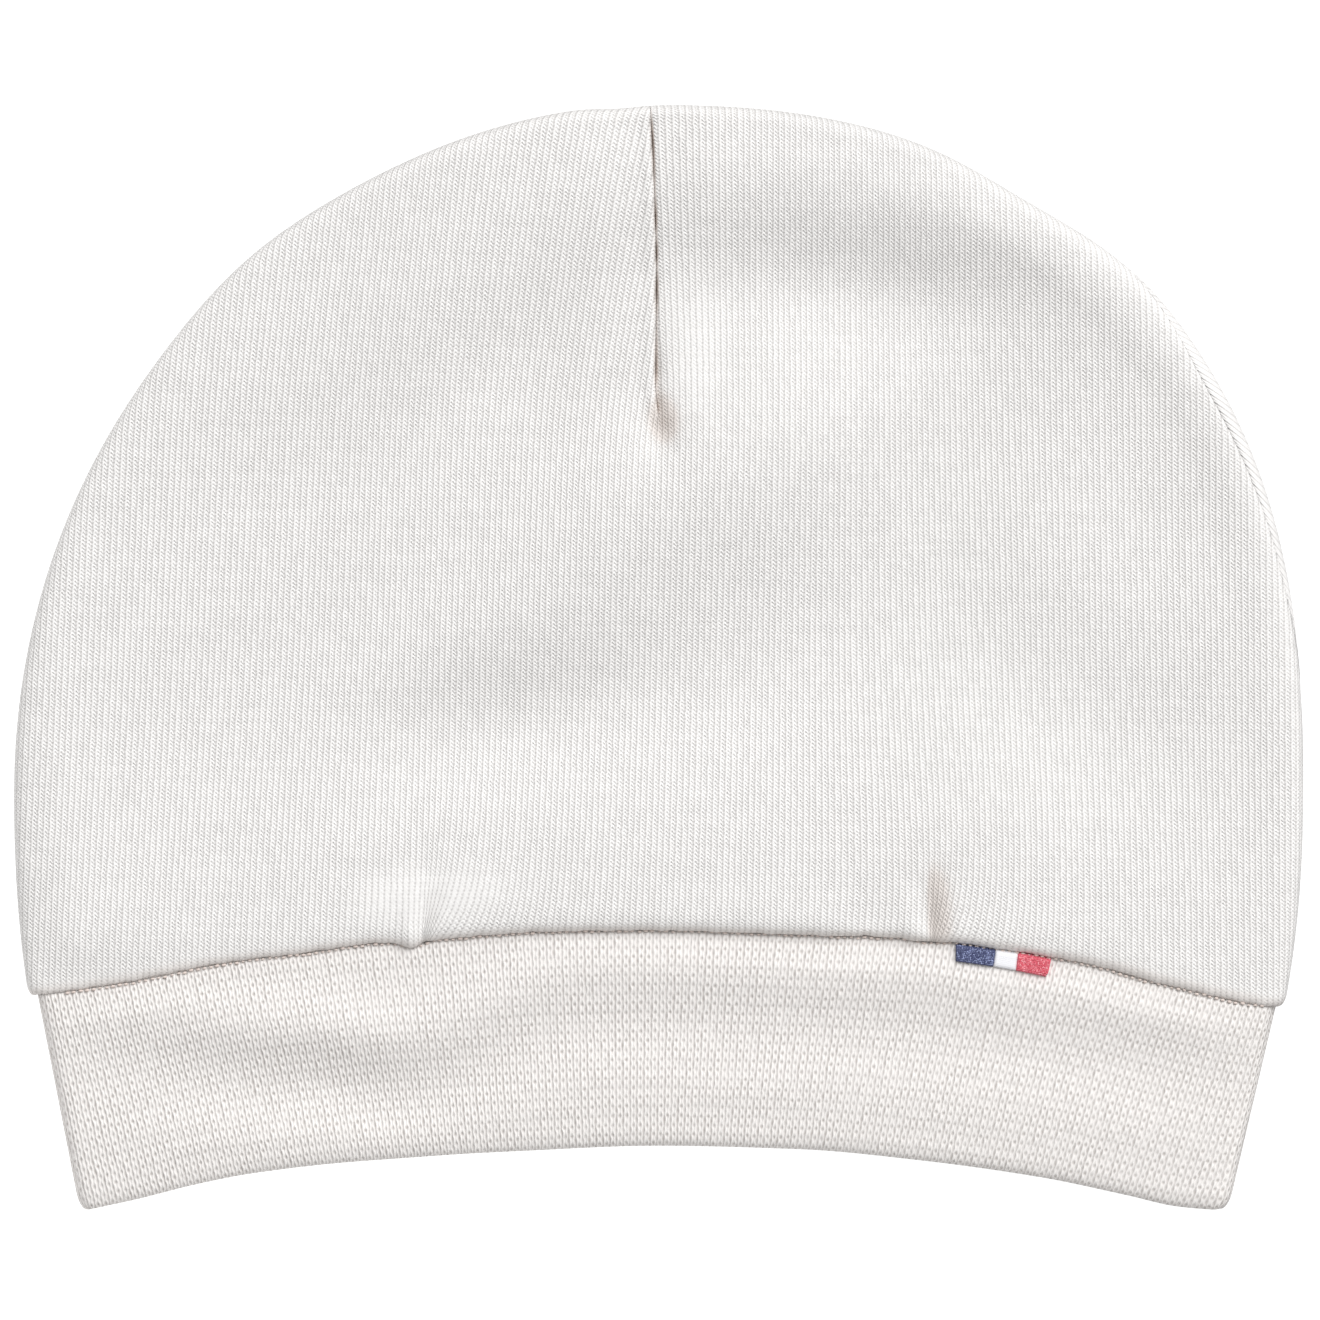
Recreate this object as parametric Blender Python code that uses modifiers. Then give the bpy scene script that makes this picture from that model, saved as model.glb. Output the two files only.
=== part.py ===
"""A newborn's jersey hat, lying flat with its front up.

The dome's top points to +Y, the mouth to -Y, and the hat lies on z = 0. The crown is two panels sewn along
the dome, and a doubled knit band is sewn under them. Lengths are in metres.
"""

import math
from collections import namedtuple

import bmesh
import bpy
import numpy as np

# Crown
CROWN_WIDTH = 0.1800  # across the widest row
DOME_HEIGHT = 0.0961  # from the widest row up to the top
SKIRT_HEIGHT = 0.0200  # from the widest row down to the band seam, at the middle
CROWN_PUFF = 0.0036  # how much higher than the band the crown's front stands, at the middle
DOME_PUFF_LEFT = 0.60  # share of that puff which is left at the middle of the dome
JERSEY = 0.0012  # thickness of the crown's wall
SKIRT_FLARE = 2.2  # power of the share down the skirt by which it narrows to the band
SEAM_ROLL = 0.0018  # depth of the small roll where the crown turns in to the band seam
FRONT_ROLL = 0.0042  # depth of the fuller roll of the front over the seam

# Band
BAND_SEAM_WIDTH = 0.1724  # across the band at its seam
BAND_MOUTH_WIDTH = 0.1602  # across the band at the mouth
BAND_HEIGHT = 0.0296  # from the seam down to the mouth's edge, at the middle
BAND_WALL = 0.0022  # thickness of the doubled knit
BAND_ROUNDING = 0.45  # radius of the wall's rounded rims, as a share of the wall
BAND_TUCK = 0.0050  # how far the band's top reaches inside the crown
BAND_PUFF = 0.0012  # the band's soft rise over its rounded edge
BAND_DROP = 0.0080  # the length in which the band's back comes down to the surface below the seam

# Edges and seams
SIDE_HEIGHT = 0.0056  # height of the side folds' widest line
EDGE_RISE = 0.0051  # rise of the band's front from that line to the end of its rounding
EDGE_ROUND = 0.055  # share of the half width that the rounded edge takes
SEAM_ARCH = 0.0098  # how far the band seam falls from the middle to its lower end
MOUTH_ARCH = 0.0092  # the same for the mouth's edge
SEAM_GAP = 0.0004  # clearance between the two crown panels, and round the tab
BAND_GAP = 0.0006  # clearance between the band and the crown, measured straight up or across

# Dart
DART_LENGTH = 0.0434
DART_DEPTH = 0.0015
DART_BREADTH = 0.0010  # half the groove's breadth
DART_HOLLOW = 0.0008  # depth of the shallow hollow on both sides of the groove
DART_HOLLOW_BREADTH = 0.0060

# Tab
TAB_LENGTH = 0.0131  # along the seam
TAB_PLACE = 0.0479  # from the hat's middle to the tab's middle
TAB_HEIGHT = 0.0026  # the part of the tab that shows below the seam
TAB_TILT = 0.0003  # the tab's right end shows this much more
TAB_THICKNESS = 0.0008
TAB_ROUNDING = 0.2  # radius of its edges, as a share of its thickness

# The dome's outline is a superellipse, whose exponent goes from the first value at the side to the second at
# the top.
LEFT_FULLNESS = (2.00, 1.95)
RIGHT_FULLNESS = (2.45, 2.25)

# Lines across the hat. across: share of the half width, from -1 at the left to 1. drop: share of the arch.
LinePoint = namedtuple("LinePoint", "across drop")
SEAM_LINE = (
    LinePoint(-1.00, 0.87),
    LinePoint(-0.81, 0.60),
    LinePoint(-0.65, 0.31),
    LinePoint(-0.48, 0.13),
    LinePoint(-0.25, 0.06),
    LinePoint(0.03, 0.00),
    LinePoint(0.25, 0.06),
    LinePoint(0.45, 0.14),
    LinePoint(0.62, 0.37),
    LinePoint(0.72, 0.62),
    LinePoint(0.86, 0.88),
    LinePoint(1.00, 1.00),
)
MOUTH_LINE = (
    LinePoint(-1.00, 1.00),
    LinePoint(-0.90, 0.81),
    LinePoint(-0.80, 0.59),
    LinePoint(-0.70, 0.42),
    LinePoint(-0.50, 0.22),
    LinePoint(-0.25, 0.08),
    LinePoint(0.00, 0.00),
    LinePoint(0.25, 0.06),
    LinePoint(0.45, 0.23),
    LinePoint(0.67, 0.50),
    LinePoint(0.82, 0.77),
    LinePoint(0.91, 0.94),
    LinePoint(1.00, 0.99),
)

# Where the side seam runs, along the dome. bearing: degrees from the right. under: share of a quarter turn of
# the edge that the seam lies below the widest line, or above it where negative.
SeamPoint = namedtuple("SeamPoint", "bearing under")
DOME_SEAM = (
    SeamPoint(0, 0.035),
    SeamPoint(8, 0.0),
    SeamPoint(18, -0.09),
    SeamPoint(34, -0.10),
    SeamPoint(46, 0.0),
    SeamPoint(60, 0.03),
    SeamPoint(180, 0.035),
)

# The hollow inside the seam allowance's ridge, along the dome. bearing: degrees from the right. depth: share of
# the puff.
HollowPoint = namedtuple("HollowPoint", "bearing depth")
RIM_HOLLOW = (
    HollowPoint(0, 0.14),
    HollowPoint(30, 0.24),
    HollowPoint(50, 0.46),
    HollowPoint(80, 0.40),
    HollowPoint(95, 0.16),
    HollowPoint(130, 0.20),
    HollowPoint(180, 0.05),
)
RIM_HOLLOW_PLACE = 0.18  # share of the half width, from the rim to the hollow's bottom
RIM_HOLLOW_BREADTH = 0.085

# Soft dents and swells of the crown's front. across: share of the half width. up: share of the dome's height,
# from the widest row. length and breadth: shares of the half width. lean: degrees. rise: share of the puff.
Dent = namedtuple("Dent", "across up length breadth lean rise")
DENTS = (
    Dent(0.16, 0.50, 0.26, 0.12, -10, 0.20),
    Dent(-0.08, 0.16, 0.36, 0.11, 26, -0.34),
    Dent(0.58, 0.22, 0.14, 0.30, 0, -0.12),
    Dent(-0.55, 0.40, 0.22, 0.34, 20, 0.12),
)

# Tucks gathered in the band seam. across: share of the half width. length: share of the skirt's height.
# breadth: share of the half width. lean: sideways share of the length. depth: share of the puff. notch: share
# of the seam's arch that the crown's edge dips by.
Tuck = namedtuple("Tuck", "across length breadth lean depth notch")
TUCKS = (
    Tuck(-0.383, 0.50, 0.016, 0.35, 0.42, 0.07),
    Tuck(0.440, 0.42, 0.014, -0.03, 0.42, 0.02),
    Tuck(0.335, 0.55, 0.030, 0.10, 0.20, 0.00),
)

# Soft folds along the band's front. down: share of the band's height, from the seam. breadth: the same. rise:
# share of the band's wall.
Fold = namedtuple("Fold", "down breadth rise")
BAND_FOLDS = (
    Fold(0.26, 0.16, 0.34),
    Fold(0.62, 0.20, -0.22),
)

# The tab's fields, from left to right. share: of the tab's length.
Field = namedtuple("Field", "name share colour")
TAB_FIELDS = (
    Field("tab_navy", 0.40, (0.100, 0.120, 0.250)),
    Field("tab_white", 0.24, (0.870, 0.870, 0.900)),
    Field("tab_red", 0.36, (0.840, 0.150, 0.210)),
)

JERSEY_COLOUR = (0.820, 0.805, 0.785)
BAND_COLOUR = (0.800, 0.775, 0.745)

# Mesh
COLUMNS = 22
DOME_ROWS = 11
SKIRT_ROWS = 4
ROLL_TURNS = (90, 80, 62, 42, 20)  # degrees round a roll at the seam, where its rows lie
BAND_ROWS = 6
TUCK_ROWS = (1.4, 2.0)  # the band's rows inside the crown
TAB_COLUMNS = 6
TAB_ROWS = 4
EDGE_LINES = (0.80, 0.85, 0.89, 0.93, 0.97, 1.00)  # grid lines over the rounded edge, as shares of the grid

HALF_WIDTH = CROWN_WIDTH / 2
BAND_HALF = BAND_SEAM_WIDTH / 2
MOUTH_HALF = BAND_MOUTH_WIDTH / 2
QUARTER = math.pi / 2
# The crown stands this much outside the band, just above the seam
OVERHANG = JERSEY + BAND_GAP
# The widest row's place, which puts the hat's box round the origin
WIDEST_Y = (SKIRT_HEIGHT + BAND_HEIGHT + MOUTH_ARCH - DOME_HEIGHT) / 2
# How far the panel's edge rises for each quarter turn, near its widest line
EDGE_PER_TURN = SIDE_HEIGHT * QUARTER / math.sqrt(EDGE_ROUND)
RIM_GAP_TURN = SEAM_GAP / EDGE_PER_TURN


def read_line(points, places):
    """A table's second column at these places, on a smooth curve that doesn't overshoot its rows."""
    at, value = np.array(points, float).T
    step = np.diff(at)
    slope = np.diff(value) / step
    product = slope[1:] * slope[:-1]
    total = np.where(product > 0, slope[1:] + slope[:-1], 1.0)
    inner = np.where(product > 0, 2 * product / total, 0.0)
    tangent = np.concatenate([slope[:1], inner, slope[-1:]])
    place = np.clip(places, at[0], at[-1])
    row = np.clip(np.searchsorted(at, place, side="right") - 1, 0, len(step) - 1)
    part = (place - at[row]) / step[row]
    rest = 1 - part
    return (
        rest**2 * ((1 + 2 * part) * value[row] + part * step[row] * tangent[row])
        + part**2 * ((1 + 2 * rest) * value[row + 1] - rest * step[row] * tangent[row + 1])
    )


def mix(first, second, share):
    return first + (second - first) * share


def ease(share):
    share = np.clip(share, 0, 1)
    return share**2 * (3 - 2 * share)


def seam_y(across):
    """The band seam's height on the plan, at a share of the half width."""
    return WIDEST_Y - SKIRT_HEIGHT - SEAM_ARCH * read_line(SEAM_LINE, across)


def mouth_y(across):
    return WIDEST_Y - SKIRT_HEIGHT - BAND_HEIGHT - MOUTH_ARCH * read_line(MOUTH_LINE, across)


def edge_bend(reach):
    """0 on the flat of a lying panel, rising to 1 over its rounded edge."""
    return np.clip((reach - 1 + EDGE_ROUND) / EDGE_ROUND, 0, 1)


def front_height(reach, edge_rise, puff):
    """A lying front's height: the rounded edge, and the soft puff that fades towards it."""
    rounded = np.sqrt(1 - edge_bend(reach) ** 2)
    return SIDE_HEIGHT + edge_rise * rounded + (BAND_PUFF + puff) * np.clip(1 - reach**2, 0, 1)


def back_height(reach, floor):
    return SIDE_HEIGHT - (SIDE_HEIGHT - floor) * np.sqrt(1 - edge_bend(reach) ** 2)


def roll_share(above_seam):
    """How far the crown has turned in to the seam: 0 above the small roll, 1 at the seam."""
    left = np.clip(1 - above_seam / SEAM_ROLL, 0, 1)
    return 1 - np.sqrt(1 - left**2)


def puff_share(above_seam):
    """The share of the crown's puff at a height on the plan: 0 at the seam, 1 over the roll, less up the dome."""
    left = np.clip(1 - above_seam / FRONT_ROLL, 0, 1)
    return np.sqrt(1 - left**2) * mix(1, DOME_PUFF_LEFT, ease(above_seam / DOME_HEIGHT))


def dome_plan(u, v):
    """Bearing and reach on the dome of a grid point: the square's edge becomes the dome's outline."""
    x = u * np.sqrt(1 - v**2 / 2)
    y = v * np.sqrt(1 - u**2 / 2)
    return np.arctan2(y, x), np.hypot(x, y)


def dome_fullness(bearing):
    """The outline's distance from the dome's centre, as a share of the half width and height."""
    right = np.cos(bearing) > 0
    to_top = np.sin(bearing) ** 2
    power = np.where(right, mix(*RIGHT_FULLNESS, to_top), mix(*LEFT_FULLNESS, to_top))
    return (np.abs(np.cos(bearing)) ** power + np.abs(np.sin(bearing)) ** power) ** (-1 / power)


def crown_point(u, v, face):
    """A point of the crown's outer surface, before dents.

    u runs across from -1 to 1. v runs up from -1 at the band seam, past 0 at the widest row, to 1 at the dome's
    top. face is 1 for the front panel and -1 for the back one.
    """
    dome_v = np.maximum(v, 0)
    bearing, spread = dome_plan(u, dome_v)
    under = read_line(DOME_SEAM, np.degrees(bearing)) - RIM_GAP_TURN / 2
    if face < 0:
        under = -under - RIM_GAP_TURN
    turn = spread * (1 + under)
    reach = np.sin(turn * QUARTER)
    across = np.where(v < 0, np.sign(u) * reach, reach * np.cos(bearing))

    below = np.maximum(-v, 0)
    skirt = WIDEST_Y - seam_y(across)
    fullness = np.where(v < 0, 1.0, dome_fullness(bearing))
    in_dome = DOME_HEIGHT * fullness * reach * np.sin(bearing)
    above_seam = np.where(v < 0, skirt * (1 - below), skirt + in_dome)
    rolled = roll_share(above_seam)
    half = mix(HALF_WIDTH, BAND_HALF + OVERHANG, np.clip(below, 0, 1) ** SKIRT_FLARE)
    half = mix(half, BAND_HALF + BAND_GAP, rolled)
    x = half * fullness * across
    y = WIDEST_Y - skirt + above_seam

    edge_rise = EDGE_RISE + mix(OVERHANG, BAND_GAP, rolled)
    front = front_height(reach, edge_rise, CROWN_PUFF * puff_share(above_seam))
    back = back_height(reach, JERSEY * rolled)
    z = np.where((turn < 1) == (face > 0), front, back)
    return np.stack([x, y, z], axis=-1)


def normals_of(surface, u, v, side):
    """Outward directions of a surface, from its own formula a little to each side of the point.

    The grid has no width at the dome's two corners, so there they are read a little inside.
    """
    step = 1e-4
    inside = np.where((np.abs(u) > 1 - step) & (v > 1 - step), 1 - 30 * step, 1.0)
    u, v = u * inside, v * inside
    along_u = surface(u + step, v) - surface(u - step, v)
    along_v = surface(u, v + step) - surface(u, v - step)
    normal = side * np.cross(along_u, along_v)
    return normal / np.maximum(np.linalg.norm(normal, axis=-1, keepdims=True), 1e-12)


def dent_depth(x, y):
    """How far the soft dents and swells move the crown's front outwards."""
    moved = np.zeros_like(x)
    for dent in DENTS:
        lean = math.radians(dent.lean)
        from_x = x - dent.across * HALF_WIDTH
        from_y = y - WIDEST_Y - dent.up * DOME_HEIGHT
        along = from_x * math.cos(lean) + from_y * math.sin(lean)
        beside = from_y * math.cos(lean) - from_x * math.sin(lean)
        spread = (along / (dent.length * HALF_WIDTH)) ** 2 + (beside / (dent.breadth * HALF_WIDTH)) ** 2
        moved += dent.rise * CROWN_PUFF * np.exp(-spread)
    return moved


def reach_of(u, v):
    """0 at the middle of the grid, 1 at the crown's outline."""
    _, spread = dome_plan(u, np.maximum(v, 0))
    return np.sin(np.clip(spread, 0, 1) * QUARTER)


def rim_hollow_depth(u, v):
    """How deep the crown's front sinks inside the ridge of its seam allowance."""
    bearing, _ = dome_plan(u, np.maximum(v, 0))
    depth = CROWN_PUFF * read_line(RIM_HOLLOW, np.degrees(bearing))
    inside = (1 - reach_of(u, v) - RIM_HOLLOW_PLACE) / RIM_HOLLOW_BREADTH
    return depth * np.exp(-(inside**2))


def dart_depth(x, y):
    """The sewn groove from the top, which ends in a dimple, and the shallow hollow beside it."""
    up = y - (WIDEST_Y + DOME_HEIGHT - DART_LENGTH)
    along = ease((up + 2 * DART_BREADTH) / (4 * DART_BREADTH))
    groove = DART_DEPTH * np.exp(-((x / DART_BREADTH) ** 2)) * along
    dimple = DART_DEPTH * np.exp(-((x / (2 * DART_BREADTH)) ** 2) - (up / (3 * DART_BREADTH)) ** 2)
    hollow = DART_HOLLOW * np.exp(-((x / DART_HOLLOW_BREADTH) ** 2)) * ease(up / DART_LENGTH + 0.5)
    return np.maximum(groove, dimple) + hollow


def tuck_depth(x, above_seam):
    """The creases that run up from the band seam, deepest a little above it."""
    depth = np.zeros_like(x)
    for tuck in TUCKS:
        length = tuck.length * SKIRT_HEIGHT
        middle = tuck.across * BAND_HALF + tuck.lean * above_seam
        breadth = tuck.breadth * HALF_WIDTH * (1 + above_seam / length)
        fade = ease(1 - above_seam / length)
        depth += tuck.depth * CROWN_PUFF * fade * np.exp(-(((x - middle) / breadth) ** 2))
    return depth


def tuck_notch(x, above_seam):
    """How far a tuck pulls the crown's lower edge down over the band."""
    dip = np.zeros_like(x)
    for tuck in TUCKS:
        spread = ((x - tuck.across * BAND_HALF) / (2 * tuck.breadth * HALF_WIDTH)) ** 2
        dip += tuck.notch * SEAM_ARCH * np.exp(-spread)
    return dip * ease(1 - above_seam / (2 * SEAM_ROLL))


def crown_front_point(u, v):
    """A point of the front panel, with its dents, dart and tucks."""
    point = crown_point(u, v, 1)
    normal = normals_of(lambda a, b: crown_point(a, b, 1), u, v, 1)
    x, y = point[..., 0], point[..., 1]
    above_seam = y - seam_y(x / HALF_WIDTH)
    free = puff_share(np.clip(above_seam, 0, None))
    soft = dent_depth(x, y) - rim_hollow_depth(u, v)
    on_top = 1 - edge_bend(reach_of(u, v)) ** 2
    outward = (soft - tuck_depth(x, above_seam)) * free - dart_depth(x, y) * on_top
    point = point + normal * outward[..., None]
    point[..., 1] -= tuck_notch(x, above_seam)
    return point


def crown_back_point(u, v):
    return crown_point(u, v, -1)


def band_front_height(reach, down):
    """Height of the band's front. down is 0 at the seam and above it, and 1 at the mouth."""
    folds = sum(fold.rise * np.exp(-(((down - fold.down) / fold.breadth) ** 2)) for fold in BAND_FOLDS)
    free = ease(down / BAND_FOLDS[0].down) * (1 - reach**4)
    return front_height(reach, EDGE_RISE, 0) + BAND_WALL * folds * free


def band_point(around, along):
    """A point of the band's outer surface.

    around is 0 at the left fold, 1 at the right one and 2 back at the left. along is 0 at the mouth and 1 at
    the seam, and goes on to 2 at the band's top inside the crown.
    """
    angle = around * math.pi - QUARTER
    across = np.sin(angle)
    reach = np.abs(across)
    down = np.clip(1 - along, 0, 1)
    half = mix(BAND_HALF, MOUTH_HALF, down)
    tuck = np.clip(along - 1, 0, 1) * BAND_TUCK
    y = mix(seam_y(across), mouth_y(across), down) + tuck
    below_seam = (seam_y(across) - mouth_y(across)) * down
    floor = OVERHANG * (1 - ease(below_seam / BAND_DROP))
    front = (around > 0) & (around < 1)
    z = np.where(front, band_front_height(reach, down), back_height(reach, floor))
    return np.stack([half * across, y, z], axis=-1)


def tab_point(along, up):
    """A point on the back of the tab, which lies on the band just below the seam.

    along is the distance from the tab's left end, up is 0 at the tab's lower edge and 1 at its upper one.
    """
    x = TAB_PLACE - TAB_LENGTH / 2 + along
    across = x / BAND_HALF
    shown = TAB_HEIGHT + TAB_TILT * (along / TAB_LENGTH - 0.5)
    y = seam_y(across) - SEAM_GAP - shown * (1 - up)
    down = (seam_y(across) - y) / (seam_y(across) - mouth_y(across))
    z = band_front_height(np.abs(across), down) + SEAM_GAP
    return np.stack([x, y, z], axis=-1)


def add_grid(shape, points):
    """A grid of faces on rows and columns of points."""
    rows, columns = points.shape[:2]
    grid = bmesh.ops.create_grid(shape, x_segments=columns - 1, y_segments=rows - 1, size=1)
    for vertex in grid["verts"]:
        column = round((vertex.co.x + 1) / 2 * (columns - 1))
        row = round((vertex.co.y + 1) / 2 * (rows - 1))
        vertex.co = points[row, column]


def object_of(name, shape):
    mesh = bpy.data.meshes.new(name)
    shape.to_mesh(mesh)
    shape.free()
    mesh.shade_smooth()
    return bpy.data.objects.new(name, mesh)


def sheet_object(name, points):
    """An open sheet on rows and columns of points. Columns that meet are joined, so a ring closes."""
    shape = bmesh.new()
    add_grid(shape, points)
    bmesh.ops.remove_doubles(shape, verts=shape.verts, dist=1e-6)
    return object_of(name, shape)


def walled_object(name, surface, u, v, wall, side):
    """A wall of even thickness between a surface and its inner copy, whose rims are bridged.

    side is 1 where the grid's faces point outwards and -1 where they point in.
    """
    outer = surface(u, v)
    inner = outer - wall * normals_of(surface, u, v, side)
    shape = bmesh.new()
    add_grid(shape, outer)
    add_grid(shape, inner)
    rims = [edge for edge in shape.edges if edge.is_boundary]
    bmesh.ops.bridge_loops(shape, edges=rims)
    bmesh.ops.recalc_face_normals(shape, faces=shape.faces)
    return object_of(name, shape)


def give_wall(piece, thickness, offset):
    wall = piece.modifiers.new("Wall", "SOLIDIFY")
    wall.thickness = thickness
    wall.offset = offset
    return wall


def round_edges(piece, width, segments):
    bevel = piece.modifiers.new("Rounding", "BEVEL")
    bevel.width = width
    bevel.segments = segments
    bevel.limit_method = "ANGLE"
    bevel.angle_limit = math.radians(50)
    return bevel


def fabric(name, colour, roughness):
    material = bpy.data.materials.new(name)
    material.use_nodes = True
    shader = material.node_tree.nodes["Principled BSDF"]
    shader.inputs["Base Color"].default_value = (*colour, 1)
    shader.inputs["Roughness"].default_value = roughness
    shader.inputs["Metallic"].default_value = 0
    material.diffuse_color = (*colour, 1)
    return material


def even_lines(lowest, highest, count):
    """Places on the grid that lie at equal distances on the plan."""
    ends = np.sin(np.array([lowest, highest]) * QUARTER)
    return np.arcsin(np.linspace(*ends, count + 1)) / QUARTER


def grid_columns(extra=()):
    """Even places across the flat, closer ones over the rounded edges, and any extra places between."""
    edges = np.array(EDGE_LINES)
    even = even_lines(-edges[0], edges[0], COLUMNS)
    return np.unique(np.round(np.concatenate([-edges, even, edges, extra]), 6))


def feature_columns():
    """Extra grid columns where the dart and the tucks need them."""
    lines = [-2.0, -0.8, 0.8, 2.0]
    columns = [line * DART_BREADTH / HALF_WIDTH / QUARTER for line in lines]
    for tuck in TUCKS:
        middle = math.asin(tuck.across) / QUARTER
        columns += [middle - tuck.breadth, middle, middle + tuck.breadth]
    return columns


def skirt_rows(roll):
    """Rows from the seam up to the widest row: close together over the roll, then wider apart."""
    rolled = -1 + roll / SKIRT_HEIGHT * (1 - np.sin(np.radians(ROLL_TURNS)))
    return np.concatenate([rolled, np.linspace(rolled[-1], 0, SKIRT_ROWS + 1)[1:]])


def dome_rows():
    return np.concatenate([even_lines(0, EDGE_LINES[0], DOME_ROWS)[1:-1], EDGE_LINES])


def make_crown_front():
    rows = np.concatenate([skirt_rows(FRONT_ROLL), dome_rows()])
    u, v = np.meshgrid(grid_columns(feature_columns()), rows)
    piece = walled_object("crown_front", crown_front_point, u, v, JERSEY, 1)
    piece.data.materials.append(fabric("jersey_front", JERSEY_COLOUR, 0.9))
    return piece


def make_crown_back():
    rows = np.concatenate([skirt_rows(SEAM_ROLL), dome_rows()])
    u, v = np.meshgrid(grid_columns(), rows)
    piece = walled_object("crown_back", crown_back_point, u, v, JERSEY, -1)
    piece.data.materials.append(fabric("jersey_back", JERSEY_COLOUR, 0.9))
    return piece


def make_band():
    front = grid_columns() / 2 + 0.5
    around = np.concatenate([front, front[1:] + 1])
    along = np.concatenate([np.linspace(0, 1, BAND_ROWS + 1), TUCK_ROWS])
    piece = sheet_object("band", band_point(*np.meshgrid(around, along)))
    give_wall(piece, BAND_WALL, -1)
    round_edges(piece, BAND_ROUNDING * BAND_WALL, 2)
    piece.data.materials.append(fabric("band_knit", BAND_COLOUR, 0.9))
    return piece


def make_tab():
    pieces = []
    left = 0.0
    for field in TAB_FIELDS:
        length = field.share * TAB_LENGTH
        ends = (left + SEAM_GAP / 2, left + length - SEAM_GAP / 2)
        along, up = np.meshgrid(np.linspace(*ends, TAB_COLUMNS), np.linspace(0, 1, TAB_ROWS))
        piece = sheet_object(field.name, tab_point(along, up))
        give_wall(piece, TAB_THICKNESS, 1)
        round_edges(piece, TAB_ROUNDING * TAB_THICKNESS, 1)
        piece.data.materials.append(fabric(field.name, field.colour, 0.6))
        pieces.append(piece)
        left += length
    return pieces


def main():
    for old in list(bpy.data.objects):
        bpy.data.objects.remove(old)
    hat = bpy.data.collections.new("newborn_hat")
    bpy.context.scene.collection.children.link(hat)
    for piece in [make_crown_front(), make_crown_back(), make_band(), *make_tab()]:
        hat.objects.link(piece)


main()
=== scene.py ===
"""The looks of a newborn's jersey hat lying flat: two jersey panels, a doubled knit band, a woven tab and the
sewing that joins them. Lengths are in metres. The dome's top points to +Y and the mouth to -Y."""
import math
from collections import namedtuple

import bpy
import numpy as np
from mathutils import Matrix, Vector


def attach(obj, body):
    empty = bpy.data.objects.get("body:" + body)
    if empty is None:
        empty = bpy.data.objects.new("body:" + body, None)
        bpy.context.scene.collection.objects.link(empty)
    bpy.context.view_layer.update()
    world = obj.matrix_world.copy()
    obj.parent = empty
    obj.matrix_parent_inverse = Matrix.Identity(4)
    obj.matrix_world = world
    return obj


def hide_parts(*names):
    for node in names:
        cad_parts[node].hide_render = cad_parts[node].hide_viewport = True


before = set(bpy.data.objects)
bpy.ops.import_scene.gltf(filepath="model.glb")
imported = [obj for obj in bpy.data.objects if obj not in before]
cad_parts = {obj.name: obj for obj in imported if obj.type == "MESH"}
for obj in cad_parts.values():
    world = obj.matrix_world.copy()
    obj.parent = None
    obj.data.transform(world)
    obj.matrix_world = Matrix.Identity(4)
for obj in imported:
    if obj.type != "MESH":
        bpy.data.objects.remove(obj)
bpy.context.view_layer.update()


def table(columns, *rows):
    """Rows of values that go by their columns' names."""
    row_kind = namedtuple("Row", columns)
    return [row_kind(*row) for row in rows]


# Crown
CROWN_WIDTH = 0.1800
DOME_HEIGHT = 0.0961
SKIRT_HEIGHT = 0.0200
CROWN_PUFF = 0.0036
DOME_PUFF_LEFT = 0.60  # share of the puff at the top
PUFF_LENGTH = 0.045  # from the seam to where the puff is whole
LIP_LENGTH = 0.0033
LIP_POWER = 2.3  # as EDGE_POWER
JERSEY = 0.0009  # thickness
SKIRT_FLARE = 2.2
CROWN_LEFT_REACH = 0.0006  # how much further the left side reaches at the seam
SEAM_ROLL = 0.0018
SEAM_HOLD = 0.008  # height above the seam over which the dents fade
RIM_HOLD = 0.10  # share of the reach over which they fade towards the rim

# Band
BAND_SEAM_WIDTH = 0.1724
BAND_MOUTH_WIDTH = 0.1602
BAND_LEFT_REACH = (0.0005, 0.0012)  # how much further its left side reaches, at the seam and the mouth
BAND_HEIGHT = 0.0296
BAND_WALL = 0.0022
BAND_TUCK = 0.0050
BAND_PUFF = 0.0012
BAND_DROP = 0.0080
BAND_SWELL = 0.0005  # how far the band rises out of the seam's groove
SWELL_LENGTH = 0.0012
GROOVE_FILL = 0.00013  # how far inside the crown's edge the swell starts
FOLD_LENGTH = 0.0026  # from where the front bends over to the mouth's edge
MOUTH_RAISE = 0.0002

# Edges and seams
SIDE_HEIGHT = 0.0056
EDGE_RISE = 0.0051
EDGE_ROUND = 0.031
EDGE_POWER = 4  # 2 is an ellipse, and more is squarer
SEAM_ARCH = 0.0098
MOUTH_ARCH = 0.0092
BAND_GAP = 0.0003
LEFT_FULLNESS = (2.00, 1.95)  # the dome's plan, as a power, at the widest row and at the top
RIGHT_FULLNESS = (2.45, 2.25)

# The back panel's edge that shows on the right, where its wales run slantwise out to the hat's outline
STRIP_BEARING = 30  # degrees
STRIP_REACH = 17  # degrees to each side
STRIP_WALE = 0.00126  # measured along the outline
STRIP_SLOPE = 0.53
STRIP_LOOPS = 0.5  # how much of its knit shows
STRIP_COURSE = 0.15  # one height of a course for all of it, so that only the slits between wales show

# Knit: the width of one wale and the height of one course
JERSEY_WALE = 0.00083
JERSEY_COURSE = 0.000527
BAND_WALE = 0.00102
BAND_COURSE = 0.00131
FIRST_HOLE = 0.0004  # from the seam to the band's first course

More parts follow.
